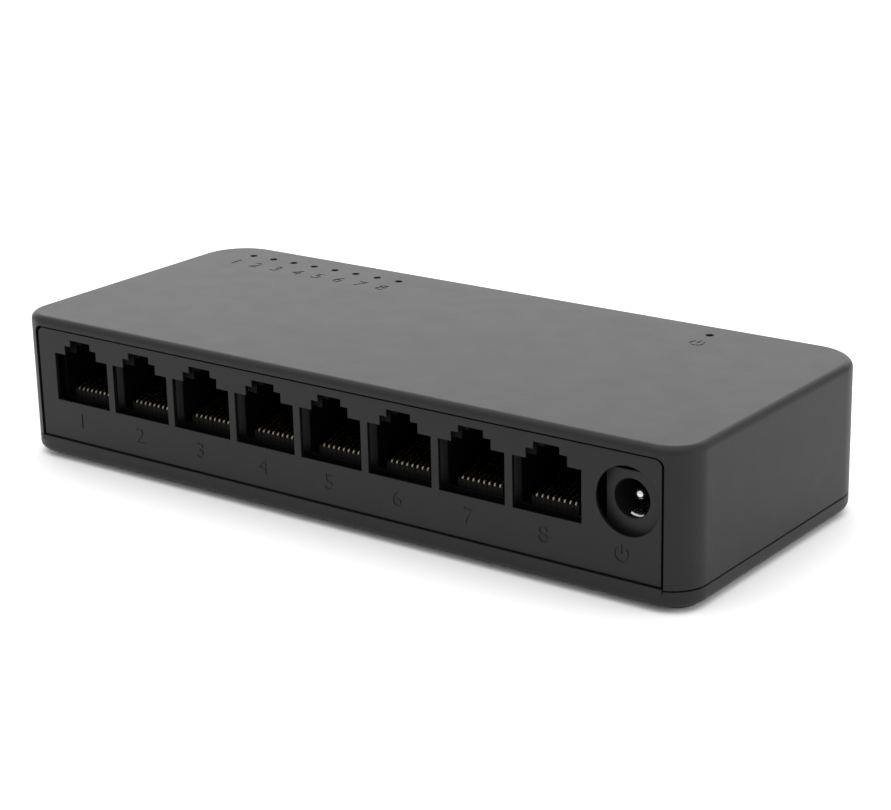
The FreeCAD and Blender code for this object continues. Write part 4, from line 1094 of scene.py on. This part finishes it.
def refined(node, slot):
    """A finished copy of a CAD node: welded, its flat faces made whole, its edges broken."""
    mesh = frame["nodes"][node].data.copy()
    mesh.transform(Matrix.Scale(1 / MM, 4))
    with editing(mesh) as bm:
        bmesh.ops.remove_doubles(bm, verts=bm.verts, dist=2 * WELD)
        bmesh.ops.dissolve_limit(bm, angle_limit=math.radians(1), verts=bm.verts, edges=bm.edges)
    bevel = BEVELS.get(slot, 0.05)
    if bevel:
        mesh = bevelled(mesh, bevel)
    return finish_piece(node + "_finished", mesh, slot, [node])


class SWITCH_OT_electronics(bpy.types.Operator):
    """Add the board and everything soldered to it, with the lamps and their shrouds"""
    bl_idname = "switch.electronics"
    bl_label = "Board and electronics"

    def execute(self, context):
        slots = {entry["node"]: entry["material_slot"] for entry in frame["record"]["subparts"]}
        for node in [name for name, thing in frame["nodes"].items() if not thing.hide_render]:
            refined(node, slots[node])
        return {"FINISHED"}


# ---------------------------------------------------------------- stage

class SWITCH_OT_stage(bpy.types.Operator):
    """Add the floor, the lights and the camera"""
    bl_idname = "switch.stage"
    bl_label = "Stage"

    def execute(self, context):
        stage = context.scene.switch_stage
        floor_mesh = block((-3000.0, -3000.0, -4.0), (3000.0, 3000.0, -0.02))
        floor_mesh.transform(Matrix.Scale(MM, 4))
        paper, tree, shader, place = new_material("white_paper_sweep")
        feed(tree, shader, {
            "Base Color": varied(tree, place, 400.0, linear("#fcfcfc"), linear("#fefefe"), "RGBA"),
            "Roughness": 0.9, "Specular IOR Level": 0.0})
        floor_mesh.materials.append(paper)
        as_object(floor_mesh, "floor")

        world = bpy.data.worlds.new("room")
        context.scene.world = world
        world.use_nodes = True
        feed(world.node_tree, world.node_tree.nodes["Background"],
             {"Color": (1.0, 1.0, 1.0, 1.0), "Strength": stage.world_light})
        for name, energy, width, height, place in (
                ("top_softbox", stage.top_light, 1.6, 1.6, (0.0, 0.0, 1.3)),
                ("back_softbox", stage.back_light, 2.2, 0.9, (-0.9, 1.2, 0.5)),
                ("side_softbox", stage.side_light, 1.0, 0.8, (1.3, 0.3, 0.5))):
            lamp = bpy.data.lights.new(name, "AREA")
            lamp.shape = "RECTANGLE"
            lamp.size, lamp.size_y = width, height
            lamp.energy = energy
            turn = Vector(place).to_track_quat("Z", "Y").to_matrix().to_4x4()
            as_object(lamp, name).matrix_world = Matrix.Translation(place) @ turn

        camera = bpy.data.cameras.new("camera")
        camera.lens = stage.lens
        camera.sensor_width = 36.0
        camera.clip_start, camera.clip_end = 0.01, 20.0
        eye = as_object(camera, "camera")
        context.scene.camera = eye
        azimuth, elevation = stage.azimuth, stage.elevation
        level = math.cos(elevation)
        ahead = Vector((-math.sin(azimuth) * level, math.cos(azimuth) * level, -math.sin(elevation)))
        turn = ahead.to_track_quat("-Z", "Y").to_matrix().to_4x4()
        eye.matrix_world = Matrix.Translation(stage.place) @ turn @ Matrix.Rotation(stage.roll, 4, "Z")
        context.scene.view_settings.view_transform = "Standard"
        return {"FINISHED"}


class SWITCH_PT_panel(bpy.types.Panel):
    """Lists the pieces of the switch"""
    bl_label = "Network switch"
    bl_idname = "SWITCH_PT_panel"
    bl_space_type = "VIEW_3D"
    bl_region_type = "UI"
    bl_category = "Switch"

    def draw(self, context):
        for piece in OPERATORS:
            self.layout.operator(piece.bl_idname)
        for group in (context.scene.switch_case, context.scene.switch_front, context.scene.switch_contacts,
                      context.scene.switch_finish, context.scene.switch_stage):
            column = self.layout.column()
            for name in group.__annotations__:
                column.prop(group, name)


GROUPS = {"switch_case": CaseSettings, "switch_front": FrontSettings, "switch_contacts": ContactSettings,
          "switch_finish": FinishSettings, "switch_stage": StageSettings}
OPERATORS = (SWITCH_OT_cover, SWITCH_OT_base, SWITCH_OT_feet, SWITCH_OT_front_panel,
             SWITCH_OT_socket_block, SWITCH_OT_contacts, SWITCH_OT_power_inlet, SWITCH_OT_screws,
             SWITCH_OT_electronics, SWITCH_OT_stage)
FINISHES = {}
ROWS = {}


def register():
    for thing in (*GROUPS.values(), *OPERATORS, SWITCH_PT_panel):
        bpy.utils.register_class(thing)
    for name, group in GROUPS.items():
        setattr(bpy.types.Scene, name, PointerProperty(type=group))


def unregister():
    for name in GROUPS:
        delattr(bpy.types.Scene, name)
    for thing in (SWITCH_PT_panel, *reversed(OPERATORS), *reversed(GROUPS.values())):
        bpy.utils.unregister_class(thing)


def main():
    register()
    FINISHES.update(make_finishes(bpy.context.scene.switch_finish))
    ROWS.update(part=part_row_tree(), wire=wire_row_tree())
    for piece in OPERATORS:
        group, name = piece.bl_idname.split(".")
        getattr(getattr(bpy.ops, group), name)()


if __name__ == "__main__":
    main()
